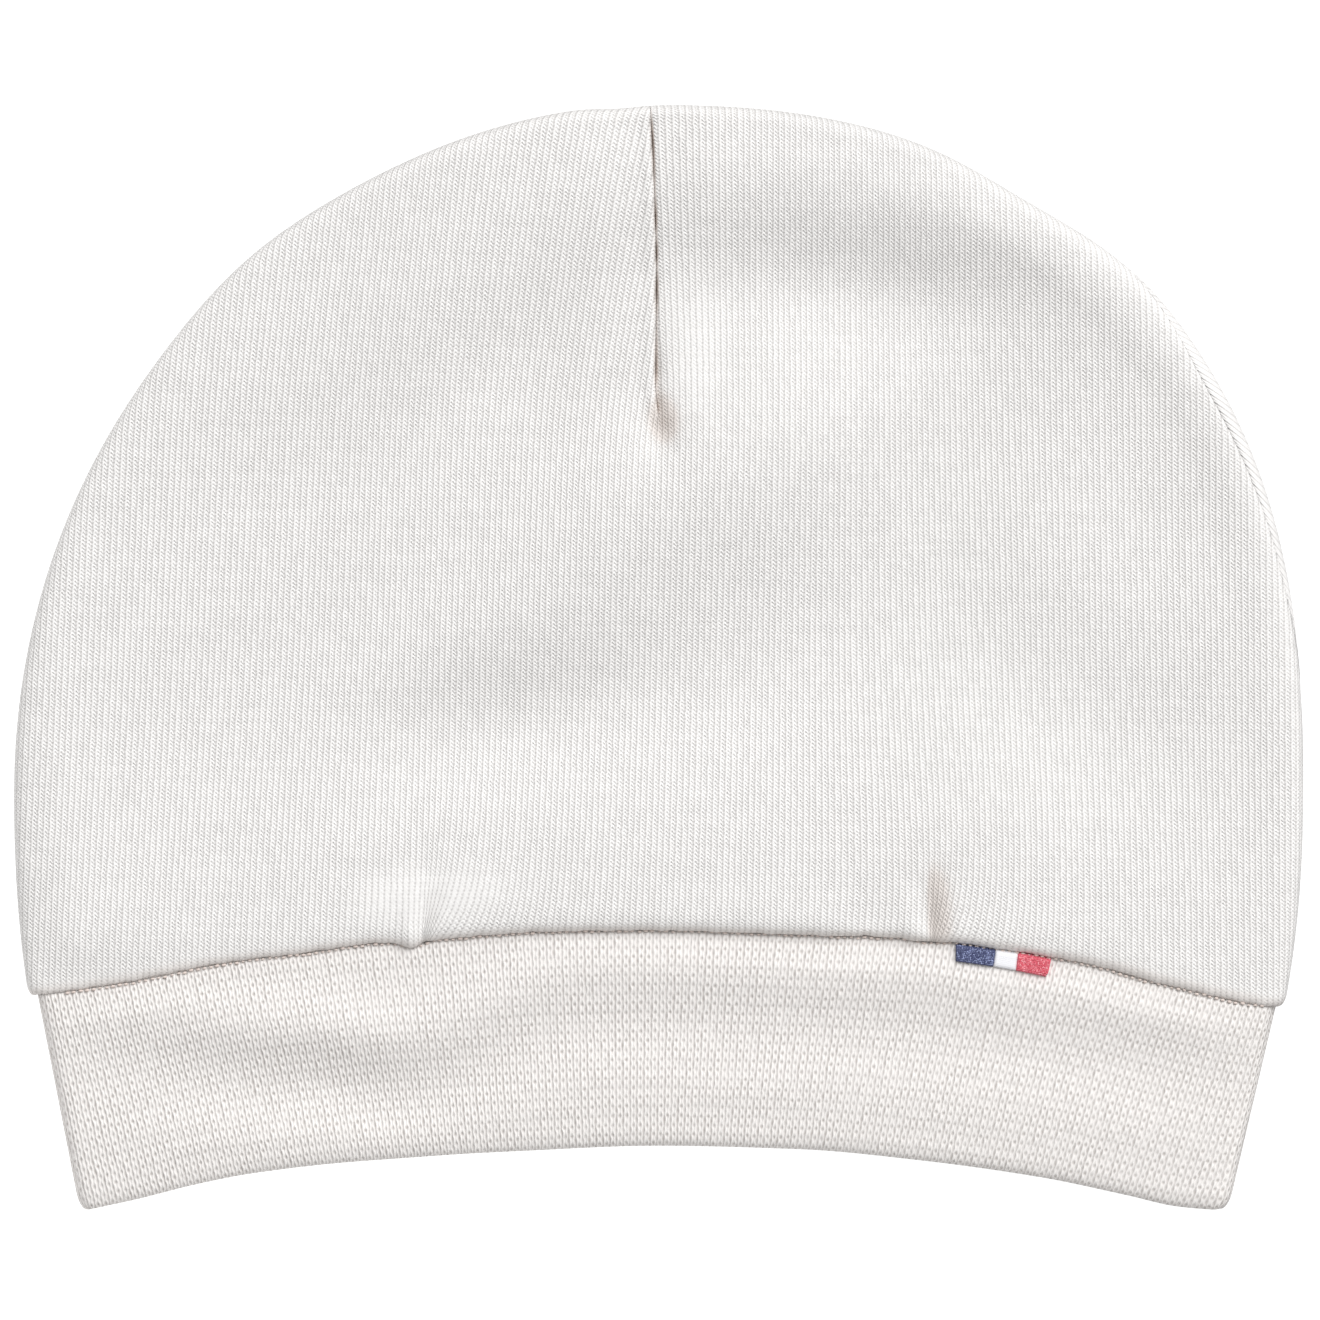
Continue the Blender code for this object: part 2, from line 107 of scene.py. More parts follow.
# The band's seam and the mouth, from the left end (-1) to the right (1). drop: share of the arch.
SEAM_LINE = table(
    "across drop",
    (-1.00, 0.86), (-0.90, 0.74), (-0.82, 0.62), (-0.74, 0.47), (-0.66, 0.35), (-0.58, 0.27), (-0.46, 0.12),
    (-0.34, 0.05), (-0.18, -0.05), (-0.01, -0.07), (0.15, -0.03), (0.31, 0.02), (0.43, 0.05), (0.51, 0.15),
    (0.63, 0.31), (0.71, 0.45), (0.79, 0.65), (0.87, 0.82), (0.955, 0.98), (1.00, 1.02))
MOUTH_LINE = table(
    "across drop",
    (-1.00, 1.00), (-0.90, 0.81), (-0.80, 0.59), (-0.70, 0.42), (-0.50, 0.22), (-0.25, 0.08), (0.00, -0.01),
    (0.25, 0.045), (0.45, 0.205), (0.67, 0.473), (0.82, 0.745), (0.91, 0.92), (1.00, 0.99))
# The seam between the panels. under: how far past the widest line the front goes, or short of it below 0.
DOME_SEAM = table(
    "bearing under", (0, 0.035), (8, 0.0), (18, -0.09), (34, -0.13), (46, -0.05), (62, 0.03), (180, 0.035))
# Share of the puff that the crown has just above its roll
LIP_PUFF = table("across share", (-1.0, 0.20), (-0.5, 0.26), (0.0, 0.37), (0.4, 0.42), (1.0, 0.50))
# The sewn edge wavers. length: metres for one radian of a wave.
LIP_WAVES = table("length start", (0.00039, 0.0), (0.00061, 1.3), (0.0012, 0.4))
LIP_WAVER = 0.00004
# lean: degrees. rise: share of CROWN_PUFF. The rest are shares of HALF_WIDTH, but up is of DOME_HEIGHT.
DENTS = table(
    "across up length breadth lean rise",
    (0.64, 0.13, 0.26, 0.18, -34, -0.96), (0.21, 0.65, 0.94, 0.12, 15, -0.57),
    (0.24, 0.75, 0.31, 0.10, -3, -0.94), (0.77, 0.38, 0.13, 0.16, -4, -0.57),
    (-0.71, 0.06, 0.37, 0.27, 42, -1.53), (-0.25, 0.09, 0.23, 0.11, 15, -0.99),
    (-0.19, 0.66, 0.19, 0.10, 37, -0.80), (0.49, 0.48, 0.48, 0.18, 43, -0.70),
    (0.78, 0.78, 0.46, 0.15, -2, 1.14), (-0.56, 0.11, 0.94, 0.33, 30, 1.30),
    (0.10, 0.20, 0.36, 0.24, 7, -1.53), (-0.16, 0.49, 0.45, 0.10, 41, -0.77),
    (-0.42, 0.31, 0.41, 0.28, 59, -1.49), (0.43, 0.57, 0.27, 0.21, 72, -0.81))
# The dome's edge is lower here (higher below 0): over the middle, left of the dart and on the shoulders
TOP_DIPS = table(
    "aside breadth drop", (0.002, 0.020, 0.00022), (-0.0048, 0.0042, 0.00040), (0.0515, 0.0105, 0.00125),
    (0.071, 0.008, -0.0005), (-0.058, 0.012, -0.0009))
TOP_DIPS_FROM = (0.5, 0.25)  # share of the dome's height where they start, and over which they come in

# A soft patch, aside of a line and up from a place. left, right and length say how far it spreads.
Patch = namedtuple("Patch", "strength aside left right up length")

# Dart. up: share of its length above its end. aside: metres from the hat's middle.
DART_LINE = table(
    "up aside", (-0.10, 0.0003), (0.00, 0.0000), (0.10, -0.0004), (0.45, -0.0003), (0.80, -0.0007),
    (1.00, -0.0012))
DART_LENGTH = 0.0434
DART_DEPTH = 0.0013
DART_FOOT = 0.0024  # height over which the groove comes in
DART_SHARE = (1.2, 0.9)  # of the depth, at its end and from DART_EVEN up
DART_EVEN = 0.030
DART_LEFT = 0.00028  # breadth of its left side
DART_RIGHT = (0.0013, 0.00022)  # breadth of its right side, DART_BELOW under its end and DART_OPEN further up
DART_BELOW = 0.001
DART_OPEN = 0.014
DART_SHUT = 0.35  # share of the depth where its sides touch, from DART_BROKEN up
DART_BROKEN = 0.006
DART_LEAST = 0.24  # the least openness of its line
GAPE_LENGTH = 0.0011  # height for one radian of its opening and closing
GAPE_UNEVEN = (2.0, 0.0037)  # radians by which that is early or late, and height for one radian of it
DART_DIMPLE = Patch(1.0, 0.0001, 0.0020, 0.0020, -0.0028, 0.0032)
DIMPLE_BLUNT = 0.5
DART_ROLL = (0.00022, -0.0009, 0.0006)  # height, distance to the right and breadth of the roll beside it
DART_HOLLOW = (0.0007, 0.0060)  # depth and breadth of the wide hollow that it lies in
DART_HOLD = 0.012  # how far to each side the mesh's columns follow it
DART_HOLD_START = 0.01
# How the dart takes cloth in: over what height it starts, how far away it is felt, and how much it takes
DART_START = 0.004
DART_NEAR = 0.014
DART_FAR = 0.09
DART_TAKES_FAR = 0.100  # from its left
DART_TAKES_NEAR = (0.055, 0.070)  # from its left and from its right
NUDGE = 1e-7  # puts a place that is on the dart's line to one side of it
DART_MELT = 0.8  # breadth over which its sides blend, for each metre below its end

# Tucks above the band. lean and curve: where the crease goes as it climbs. notch: how far the crown's edge
# dips, notch_at metres from the crease. roll: height of the smooth roll on its left. swallow: cloth taken in
# from left and right. swing: further lean of the wales. brown: strength, breadth and length of the
# dark painted shade along its crease.
TUCKS = table(
    "across length breadth lean curve depth notch notch_at roll swallow swing brown",
    (-0.380, 0.55, 0.012, 0.05, 26.0, 0.22, 0.0007, -0.0011, 0.00035, (0.0009, 0.0050), 0.12,
     (0.03, 0.0012, 0.011)),
    (0.440, 0.55, 0.014, -0.03, 0.0, 0.30, 0.0005, 0.0, 0.0002, (0.0008, 0.0026), 0.22,
     (0.27, 0.0015, 0.0130)),
    (0.335, 0.55, 0.030, 0.10, 0.0, 0.20, 0.0, 0.0, 0.0, (0.0, 0.0), 0.0, (0.0, 0.001, 0.001)))
TUCK_IN_LIP = 0.22  # share of the depth at the seam. It is whole from LIP_HOLD up.
LIP_HOLD = 0.0030
TUCK_ROLL_AT = 1.7  # breadths left of the crease
NOTCH_BREADTH = (0.0026, 0.0021)  # left and right of its lowest point
NOTCH_HEIGHT = 2.5 * SEAM_ROLL
TUCK_LEAN = 0.5  # share of a crease's lean that the wales round it have
TUCK_MELT = (0.0006, 0.35)  # breadth over which its sides blend: at the seam, and more for each metre up
TUCK_NEAR = 0.012  # how far to the side, and how far up, a tuck takes cloth in
TUCK_HIGH = 0.0085
SWING_BREADTH = 0.014
SWING_HIGH = 0.012

# Where the jersey is pulled flat. The strip's patch is in degrees of bearing, and metres from the rim.
STRIP_FLAT = Patch(0.85, STRIP_BEARING, 1.4 * STRIP_REACH, 1.4 * STRIP_REACH, 0.0, 0.0028)
DART_FLAT = Patch(0.8, 0.0056, 0.0036, 0.0036, 0.0085, 0.0085)
TUCK_FLAT = Patch(1.5, -0.0012, 0.0070, 0.0125, 0.0060, 0.0036)
LIP_FLAT = 0.0019  # height above the seam

# Painted shade where the cloth is pressed into creases, as a darker and warmer colour: the dart's line, the
# slope on its right, its dimple, tucks and sewn edge
LINE_ASIDE = 0.00005
LINE_BREADTH = 0.00015
LINE_START = 0.003
LINE_END = 0.002
SLOPE_SHADE = 0.12
SLOPE_BREADTH = 0.0011
SLOPE_START = 0.004
SLOPE_LENGTH = 0.022
DIMPLE_SHADE = Patch(0.36, 0.0006, 0.0018, 0.0018, -0.0008, 0.0027)
TUCK_SHADE_ASIDE = 0.3  # breadths right of the tuck's crease
TUCK_SHADE_SIDES = (0.5, 1.5)  # breadths, left and right
TUCK_SHADE_FADE = 0.6  # share of its length
# painted shade on the crown's rolled edge just above the band
EDGE_SHADE = 0.10
EDGE_SHADE_HEIGHT = 0.0018
# the colour of the dark painted shade
CREASE_SHADE_COLOUR = (0.27, 0.20, 0.16)
CREASE_SHADE_TINT = (1.0, 0.960, 0.936)  # a warm painted shade: multiplies the cloth's own colour where the painted crease shade is faint
SHADE_TINT_RANGE = (0.02, 0.16)  # strength of the painted crease shade where the warm tint starts, and where it is whole

# How far the wales lean from upright, in degrees. Positive leans their top to the right.
CROWN_LEAN = table(
    "across lean", (-1.0, 2.4), (-0.55, 3.0), (-0.30, 1.8), (0.10, 1.4), (0.30, 0.3), (0.50, -1.0),
    (0.75, -0.9), (1.0, 0.0))
BAND_LEAN = table(
    "across lean", (-1.0, -5.0), (-0.6, -4.5), (-0.3, -1.5), (-0.1, 0.0), (0.3, 4.5), (0.7, 9.0), (1.0, 12.0))

# The band's soft folds, from the seam (0) down to the mouth (1)
BAND_FOLDS = table("down breadth rise", (0.18, 0.16, 0.34), (0.50, 0.18, -0.26), (0.80, 0.14, 0.10))
FOLDS_END = 0.1  # share of the band's height over which they fade at the mouth
# How much lower the folds lie, and how much stronger they are, on the way from the middle (0) to a side (1)
STEP = "start length amount"
LOWER_TO_LEFT = table(STEP, (0.1, 0.25, 0.17), (0.6, 0.3, -0.20))
LOWER_TO_RIGHT = table(STEP, (0.6, 0.3, -0.07))
STRONGER_TO_LEFT = table(STEP, (0.2, 0.3, 0.9))
STRONGER_TO_RIGHT = table(STEP, (0.6, 0.3, 1.0))
FOLD_SAG = (0.11, 0.42, 0.12)  # how much lower they lie at one place on the left, where, and how broad it is

# Tab. The four ends of its fields from left to right: where each meets the seam, and the tab's lower fold.
# corner: how far the lower corner on its left is rounded off.
TAB_ENDS = table(
    "top bottom corner",
    ((0.04135, -0.03975), (0.04137, -0.04223), 0.0), ((0.04695, -0.04045), (0.04655, -0.04297), 0.0),
    ((0.05006, -0.04090), (0.04972, -0.04352), 0.0), ((0.05467, -0.04180), (0.05411, -0.04440), 0.0003))
TAB_THICKNESS = 0.0007
TAB_CLEAR = 0.00005  # between the tab and the band that it lies on
TAB_APART = 0.0004  # share of a field's length left free at each end
TAB_PITCH = 0.00024  # from one woven loop to the next
TAB_FOLD_ROWS = (0.5, 0.2, 0.0)  # the last rows before the lower fold, as shares of a row
TAB_FOLD = 0.25  # share of its height that bends into the lower fold
TAB_FOLD_POWER = 2.5
TAB_FOLD_LEFT = 0.06  # share of the thickness at the fold
TAB_UNDER_LIP = 0.35  # and at the seam
TAB_RISE = 0.22  # share of its height over which it gets its whole thickness
TAB_SIDE = 0.1  # share of half its length that slopes down to its end
TAB_SIDE_DROP = 0.35
CORNER_SIZE = (0.2, 0.3)  # share of a field's length and height
LOOP_RADIUS = 0.00010
LOOP_THREAD = 0.00008
LOOP_SCATTER = 0.00006
LOOP_TURN = 0.4  # most lean of a loop to any side, in radians
LOOP_TWIST = 3.14  # and most turn round its upright line

# Seam stitches
STITCH_PITCH = 0.00092
STITCH_LENGTH = 0.00064
STITCH_THICKNESS = 0.00036
STITCH_SIZES = (0.7, 1.2)  # the least and the largest, as shares of the above
STITCH_SCATTER = 0.00009
STITCH_SEED = 3
STITCH_ROW = (-0.955, 0.975)  # its ends, where the seam's are -1 and 1
STITCH_POINTS = 700
STITCH_BELOW = 0.00006  # how far outside the crown's edge the row lies
STITCH_ABOVE = 0.00046  # and how far above the band

# Meshes: faces across, up the skirt and up the dome
Grid = namedtuple("Grid", "across skirt dome")
FRONT_GRID = Grid(288, 80, 168)
BACK_GRID = Grid(240, 50, 130)
FARTHEST_TURN = 1.3  # more than any turn of the crown
TURN_PLACES = 6001
PLAN_PLACES = 4001
RIM_DENSITY = 0.12  # keeps the lines close at the rim, where a plain even plan leaves them far apart
Crowd = namedtuple("Crowd", "place breadth strength")
DART_CROWD = Crowd(0, 0.012, 4.0)
FRONT_LIP_CROWD = Crowd(-1, 0.2, 3.0)
BACK_LIP_CROWD = Crowd(-1, 0.1, 3.0)
TUCK_CROWD = (0.02, 1.5)  # breadth and strength
BAND_LINES = 330  # across its front, and again across its back
BAND_ROWS = 56
HIDDEN_ROWS = 7
SWELL_ROWS = (0.5, 0.275, 0.125, 0.05)  # shares of the swell's length
FOLD_ROWS = 11
WALE_ROW = 40  # the row whose length sets the number of wales

# Colours and yarn. gap is the painted shade in the knit's holes and slits.
Cloth = namedtuple("Cloth", "thread gap relief sizes")
JERSEY_CLOTH = Cloth(
    (0.900, 0.886, 0.874), (0.37, 0.35, 0.335), 0.000225,
    {"Slant": 0.85, "Between Wales": 0.62, "Hole": 0.42, "Unlike": 0.26, "Wobble": 0.38})
BAND_CLOTH = Cloth(
    (0.888, 0.857, 0.834), (0.30, 0.255, 0.225), 0.00025,
    {"Hole": 0.62, "Between Wales": 0.52, "Wave": 0.13, "Wobble": 0.35})
Thread = namedtuple("Thread", "dark light stripe")
TAB_THREADS = {
    "tab_navy": Thread((0.013, 0.018, 0.09), (0.42, 0.48, 0.74), 0.0),
    "tab_white": Thread((0.76, 0.76, 0.80), (0.95, 0.95, 0.96), 0.22),
    "tab_red": Thread((0.66, 0.055, 0.10), (1.0, 0.50, 0.55), 0.0),
}
SEAM_THREAD = Thread((0.68, 0.58, 0.53), (0.92, 0.85, 0.81), 0.0)
THREAD_RISE = (0.6, 0.4)  # what a thread adds to the height of the cloth, and the cloth's own
LEFT_LEG = 0.25  # share of a loop's relief that its left leg has
FUZZ_SCALE = 9000.0
FUZZ_RELIEF = 0.25
SLUB_STRETCH = (0.05, 0.9, 1.0)  # the yarn's unevenness runs along the courses
# The cloth's brightness, and what the loops' chance, the yarn and pulled flat cloth add to it
TONE_BASE = 0.900
TONE_OF_LOOPS = 0.06
TONE_OF_YARN = 0.14
TONE_OF_FLAT = -0.03
THREAD_CHANCE = 0.8  # how light the lightest threads are
THREAD_FUZZ = 0.3  # how much the fibres lighten them
SATIN_TURN = -12  # degrees
SATIN_SCALE = 1050.0
THREAD_RELIEF = 0.00006

# Light: degrees, metres and watts
WORLD_LIGHT = 0.54
KEY_BEARING = 58
KEY_HEIGHT = 48
KEY_DISTANCE = 5.0
KEY_SIZE = 3.2
KEY_POWER = 232.0
FLOOR_HALF = 2.0
FLOOR_DROP = 0.0002
FLOOR_GREY = 0.2
FLOOR_LIGHT = (0.28, 1.2)  # how much white the floor throws on the hat, on the right and on the left
FLOOR_RANGE = (-0.03, 0.07)  # where that changes, in metres to the left
FLOOR_SLANT = 0.6  # metres to the left that one metre towards the mouth counts for

# Camera: straight above, with a long lens. Its width of view is at the height of the hat's outline.
VIEW_WIDTH = 0.18433
OUTLINE_HEIGHT = 0.007
CAMERA_ASIDE = (0.0002, -0.0003)
LENS = 300.0  # millimetres, as the sensor
SENSOR = 36.0

HALF_WIDTH = CROWN_WIDTH / 2
BAND_HALF = BAND_SEAM_WIDTH / 2
MOUTH_HALF = BAND_MOUTH_WIDTH / 2
QUARTER = math.pi / 2
OVERHANG = JERSEY + BAND_GAP
WIDEST_Y = (SKIRT_HEIGHT + BAND_HEIGHT + MOUTH_ARCH - DOME_HEIGHT) / 2
DART_END_Y = WIDEST_Y + DOME_HEIGHT - DART_LENGTH


def read_line(points, places):
    """A table's second column at these places, on a smooth curve that doesn't overshoot its rows."""
    at, value = np.array(points, float).T
    step = np.diff(at)
    slope = np.diff(value) / step
    product = slope[1:] * slope[:-1]
    total = np.where(product > 0, slope[1:] + slope[:-1], 1.0)
    inner = np.where(product > 0, 2 * product / total, 0.0)
    tangent = np.concatenate([slope[:1], inner, slope[-1:]])
    place = np.clip(places, at[0], at[-1])
    row = np.clip(np.searchsorted(at, place, side="right") - 1, 0, len(step) - 1)
    part = (place - at[row]) / step[row]
    rest = 1 - part
    return (
        rest**2 * ((1 + 2 * part) * value[row] + part * step[row] * tangent[row])
        + part**2 * ((1 + 2 * rest) * value[row + 1] - rest * step[row] * tangent[row + 1])
    )


def mix(first, second, share):
    return first + (second - first) * share


def ease(share):
    share = np.clip(share, 0, 1)
    return share**2 * (3 - 2 * share)


def bump_at(distance, breadth):
    return np.exp(-((distance / breadth) ** 2))


def patch_at(patch, aside, up):
    from_it = aside - patch.aside
    breadth = np.where(from_it < 0, patch.left, patch.right)
    return patch.strength * bump_at(from_it, breadth) * bump_at(up - patch.up, patch.length)


def which_side(distance, softness):
    """-1 on the left and 1 on the right, with a soft change between."""
    return distance / np.sqrt(distance**2 + softness**2)


def steps_up(steps, way):
    return sum(step.amount * ease((way - step.start) / step.length) for step in steps)


def seam_y(across):
    return WIDEST_Y - SKIRT_HEIGHT - SEAM_ARCH * read_line(SEAM_LINE, across)


def mouth_y(across):
    return WIDEST_Y - SKIRT_HEIGHT - BAND_HEIGHT - MOUTH_ARCH * read_line(MOUTH_LINE, across)


def rounded(left, power):
    """1 where left is 0, and 0 where it is 1. A power of 2 is a quarter of a circle, and more is squarer."""
    return (1 - np.clip(left, 0, 1) ** power) ** (1 / power)


def edge_bend(reach):
    return np.clip((reach - 1 + EDGE_ROUND) / EDGE_ROUND, 0, 1)


def front_height(reach, edge_rise, puff):
    over_edge = rounded(edge_bend(reach), EDGE_POWER)
    return SIDE_HEIGHT + edge_rise * over_edge + (BAND_PUFF + puff) * np.clip(1 - reach**2, 0, 1)


def back_height(reach, floor):
    return SIDE_HEIGHT - (SIDE_HEIGHT - floor) * np.sqrt(1 - edge_bend(reach) ** 2)


def roll_share(above_seam):
    return 1 - rounded(1 - above_seam / SEAM_ROLL, LIP_POWER)


def puff_share(across, above_seam):
    lip = read_line(LIP_PUFF, across)
    above_lip = (1 - lip) * ease(above_seam / PUFF_LENGTH)
    share = lip * rounded(1 - above_seam / LIP_LENGTH, LIP_POWER) + above_lip
    return share * mix(1, DOME_PUFF_LEFT, ease(above_seam / DOME_HEIGHT))


def dome_plan(u, v):
    x = u * np.sqrt(1 - v**2 / 2)
    y = v * np.sqrt(1 - u**2 / 2)
    return np.arctan2(y, x), np.hypot(x, y)


def dome_fullness(bearing):
    right = np.cos(bearing) > 0
    to_top = np.sin(bearing) ** 2
    power = np.where(right, mix(*RIGHT_FULLNESS, to_top), mix(*LEFT_FULLNESS, to_top))
    return (np.abs(np.cos(bearing)) ** power + np.abs(np.sin(bearing)) ** power) ** (-1 / power)


def crown_turn(u, v, face):
    """Bearing on the dome, and how far a grid point has turned from the middle (0) to the widest line (1)."""
    bearing, spread = dome_plan(u, np.maximum(v, 0))
    return bearing, spread * (1 + face * read_line(DOME_SEAM, np.degrees(bearing)))


def crown_point(u, v, face):
    """A point of the crown's outer surface, before dents. The grid is the same as in the part's source."""
    bearing, turn = crown_turn(u, v, face)
    reach = np.sin(turn * QUARTER)
    across = np.where(v < 0, np.sign(u) * reach, reach * np.cos(bearing))
    below = np.maximum(-v, 0)
    skirt = WIDEST_Y - seam_y(across)
    fullness = np.where(v < 0, 1.0, dome_fullness(bearing))
    in_dome = DOME_HEIGHT * fullness * reach * np.sin(bearing)
    above_seam = np.where(v < 0, skirt * (1 - below), skirt + in_dome)
    rolled = roll_share(above_seam)
    half = mix(HALF_WIDTH, BAND_HALF + OVERHANG, np.clip(below, 0, 1) ** SKIRT_FLARE)
    half = mix(half, BAND_HALF + BAND_GAP, rolled)
    half = half + np.where(across < 0, CROWN_LEFT_REACH * np.clip(below, 0, 1) ** 2, 0)
    x = half * fullness * across
    dips_start, dips_length = TOP_DIPS_FROM
    near_top = ease((reach * np.sin(bearing) - dips_start) / dips_length) * (v > 0)
    dips = sum(dip.drop * bump_at(x - dip.aside, dip.breadth) for dip in TOP_DIPS)
    y = WIDEST_Y - skirt + above_seam - near_top * dips
    edge_rise = EDGE_RISE + mix(OVERHANG, BAND_GAP, rolled)
    front = front_height(reach, edge_rise, CROWN_PUFF * puff_share(across, above_seam))
    back = back_height(reach, JERSEY * rolled)
    z = np.where((turn < 1) == (face > 0), front, back)
    return np.stack([x, y, z], axis=-1)


def grid_normals(points, side):
    """Outward directions at the corners of a grid of points, from the faces round each."""
    first = points[1:, 1:] - points[:-1, :-1]
    second = points[1:, :-1] - points[:-1, 1:]
    faces = side * np.cross(first, second)
    total = np.zeros_like(points)
    for rows in (slice(None, -1), slice(1, None)):
        for columns in (slice(None, -1), slice(1, None)):
            total[rows, columns] += faces
    return total / np.maximum(np.linalg.norm(total, axis=-1, keepdims=True), 1e-15)


def dent_depth(x, y):
    moved = np.zeros_like(x)
    for dent in DENTS:
        lean = math.radians(dent.lean)
        from_x = x - dent.across * HALF_WIDTH
        from_y = y - WIDEST_Y - dent.up * DOME_HEIGHT
        along = from_x * math.cos(lean) + from_y * math.sin(lean)
        beside = from_y * math.cos(lean) - from_x * math.sin(lean)
        spread = (along / (dent.length * HALF_WIDTH)) ** 2 + (beside / (dent.breadth * HALF_WIDTH)) ** 2
        moved += dent.rise * CROWN_PUFF * np.exp(-spread)
    return moved


def dart_side(x, y):
    """Distance to the right of the dart's line, and height above the dart's end."""
    up = y - DART_END_Y
    return x - read_line(DART_LINE, up / DART_LENGTH), up


def dart_openness(up):
    """The dart's line is broken: least where its sides touch, and 1 where it gapes most."""
    late, length = GAPE_UNEVEN
    return mix(DART_LEAST, 1, 0.5 + 0.5 * np.sin(up / GAPE_LENGTH + late * np.sin(up / length)))


def dart_depth(x, y):
    """The sewn groove: narrow at the top, with a slope on its right lower down, a dimple at its end, and a
    roll on its left."""
    aside, up = dart_side(x, y)
    in_dart = ease(up / DART_FOOT + 0.5)
    slope = mix(*DART_RIGHT, ease((up + DART_BELOW) / DART_OPEN))
    profile = np.where(aside < 0, bump_at(aside, DART_LEFT), np.exp(-np.abs(aside) / slope))
    groove = DART_DEPTH * mix(*DART_SHARE, ease(up / DART_EVEN)) * profile * in_dart
    broken = mix(DART_SHUT, 1, dart_openness(up))
    groove *= mix(1, broken, ease(up / DART_BROKEN))
    spot = DART_DIMPLE
    away = np.hypot((aside - spot.aside) / spot.left, (up - spot.up) / spot.length)
    dimple = spot.strength * DART_DEPTH * np.exp(DIMPLE_BLUNT - np.hypot(away, DIMPLE_BLUNT))
    height, roll_aside, breadth = DART_ROLL
    roll = height * bump_at(aside - roll_aside, breadth) * in_dart
    depth, breadth = DART_HOLLOW
    hollow = depth * bump_at(aside, breadth) * ease(up / DART_LENGTH + 0.5)
    return np.maximum(groove, dimple) + hollow - roll


def from_crease(tuck, x, above_seam):
    return x - tuck.across * BAND_HALF - tuck.lean * above_seam - tuck.curve * above_seam**2


def tuck_depth(x, above_seam):
    depth = np.zeros_like(x)
    for tuck in TUCKS:
        length = tuck.length * SKIRT_HEIGHT
        aside = from_crease(tuck, x, above_seam)
        breadth = tuck.breadth * HALF_WIDTH * (1 + above_seam / length)
        fade = ease(1 - above_seam / length)
        inside = mix(TUCK_IN_LIP, 1, ease(above_seam / LIP_HOLD))
        depth += tuck.depth * CROWN_PUFF * fade * inside * bump_at(aside, breadth)
        depth -= tuck.roll * fade * bump_at(aside + TUCK_ROLL_AT * breadth, breadth)
    return depth


def tuck_notch(x, above_seam):
    """How far the crown's edge dips: it comes down gently and goes back up steeply."""
    dip = np.zeros_like(x)
    for tuck in TUCKS:
        aside = x - tuck.across * BAND_HALF - tuck.notch_at
        dip += tuck.notch * bump_at(aside, np.where(aside < 0, *NOTCH_BREADTH))
    return dip * ease(1 - above_seam / NOTCH_HEIGHT)


def lip_waver(x, above_seam):
    waves = sum(np.sin(x / wave.length + wave.start) for wave in LIP_WAVES)
    return LIP_WAVER * waves * ease(1 - above_seam / SEAM_ROLL)


def unrolled(u, v, face, points):
    """Places on the flat cloth: the plan, with the rounded edge and the skirt laid out at their length."""
    turn = crown_turn(u, v, face)[1]
    reach = np.sin(turn * QUARTER)
    fine = np.linspace(0, FARTHEST_TURN, TURN_PLACES)
    out = np.sin(fine * QUARTER)
    front = front_height(out, EDGE_RISE + OVERHANG, 0)
    height = np.where((fine < 1) == (face > 0), front, back_height(out, 0))
    run = np.concatenate([[0], np.cumsum(np.hypot(np.diff(out) * HALF_WIDTH, np.diff(height)))])
    scale = np.interp(turn, fine, run / HALF_WIDTH) / np.maximum(reach, 1e-6)
    flat_x = points[..., 0] * scale
    flat_y = np.where(v < 0, 0.0, WIDEST_Y + (points[..., 1] - WIDEST_Y) * scale)
    step = np.linalg.norm(np.diff(points[..., 1:], axis=0), axis=-1)
    run = np.concatenate([np.zeros((1, step.shape[1])), np.cumsum(step, axis=0)])
    widest = np.searchsorted(v[:, 0], 0)
    return flat_x, np.where(v < 0, WIDEST_Y + run - run[widest], flat_y)


def cloth_shift(x, y, above_seam, side):
    """How far a wale lies to the right of its upright place, by its lean and the cloth that is taken in."""
    lean = np.tan(np.radians(read_line(CROWN_LEAN, x / HALF_WIDTH)))
    shift = lean * (y - WIDEST_Y)
    aside, up = dart_side(x, y)
    aside = aside + NUDGE * side
    opened = DART_START * np.logaddexp(0, up / DART_START)
    near = np.exp(-np.abs(aside) / DART_NEAR)
    from_left, from_right = DART_TAKES_NEAR
    left = DART_TAKES_FAR * np.exp(-np.abs(aside) / DART_FAR) + from_left * near
    taken = np.where(aside < 0, left, from_right * near)
    shift -= which_side(aside, np.maximum(-up, 0) * DART_MELT + 1e-6) * taken * opened
    for tuck in TUCKS:
        from_tuck = x - tuck.across * BAND_HALF - tuck.lean * above_seam * TUCK_LEAN
        melt, more = TUCK_MELT
        swallow = which_side(from_tuck, melt + more * above_seam) * np.where(from_tuck < 0, *tuck.swallow)
        shift -= swallow * np.exp(-np.abs(from_tuck) / TUCK_NEAR - above_seam / TUCK_HIGH)
        swing = tuck.swing * above_seam * np.exp(-above_seam / SWING_HIGH)
        shift += swing * bump_at(from_tuck, SWING_BREADTH)
    return shift


def lines_between(lowest, highest, count, crowded=()):
    """count + 1 places on the grid, even on the plan but closer in each crowd."""
    fine = np.linspace(lowest, highest, PLAN_PLACES)
    density = np.cos(fine * QUARTER) + RIM_DENSITY
    for place, breadth, strength in crowded:
        density = density + strength * bump_at(fine - place, breadth)
    run = np.concatenate([[0], np.cumsum((density[1:] + density[:-1]) / 2)])
    return np.interp(np.linspace(0, run[-1], count + 1), run, fine)


def rim_of(rows, columns):
    """Grid places along the four sides, in order round the grid."""
    bottom = [(0, c) for c in range(columns)]
    right = [(r, columns - 1) for r in range(1, rows)]
    top = [(rows - 1, c) for c in range(columns - 2, -1, -1)]
    left = [(r, 0) for r in range(rows - 2, 0, -1)]
    return bottom + right + top + left


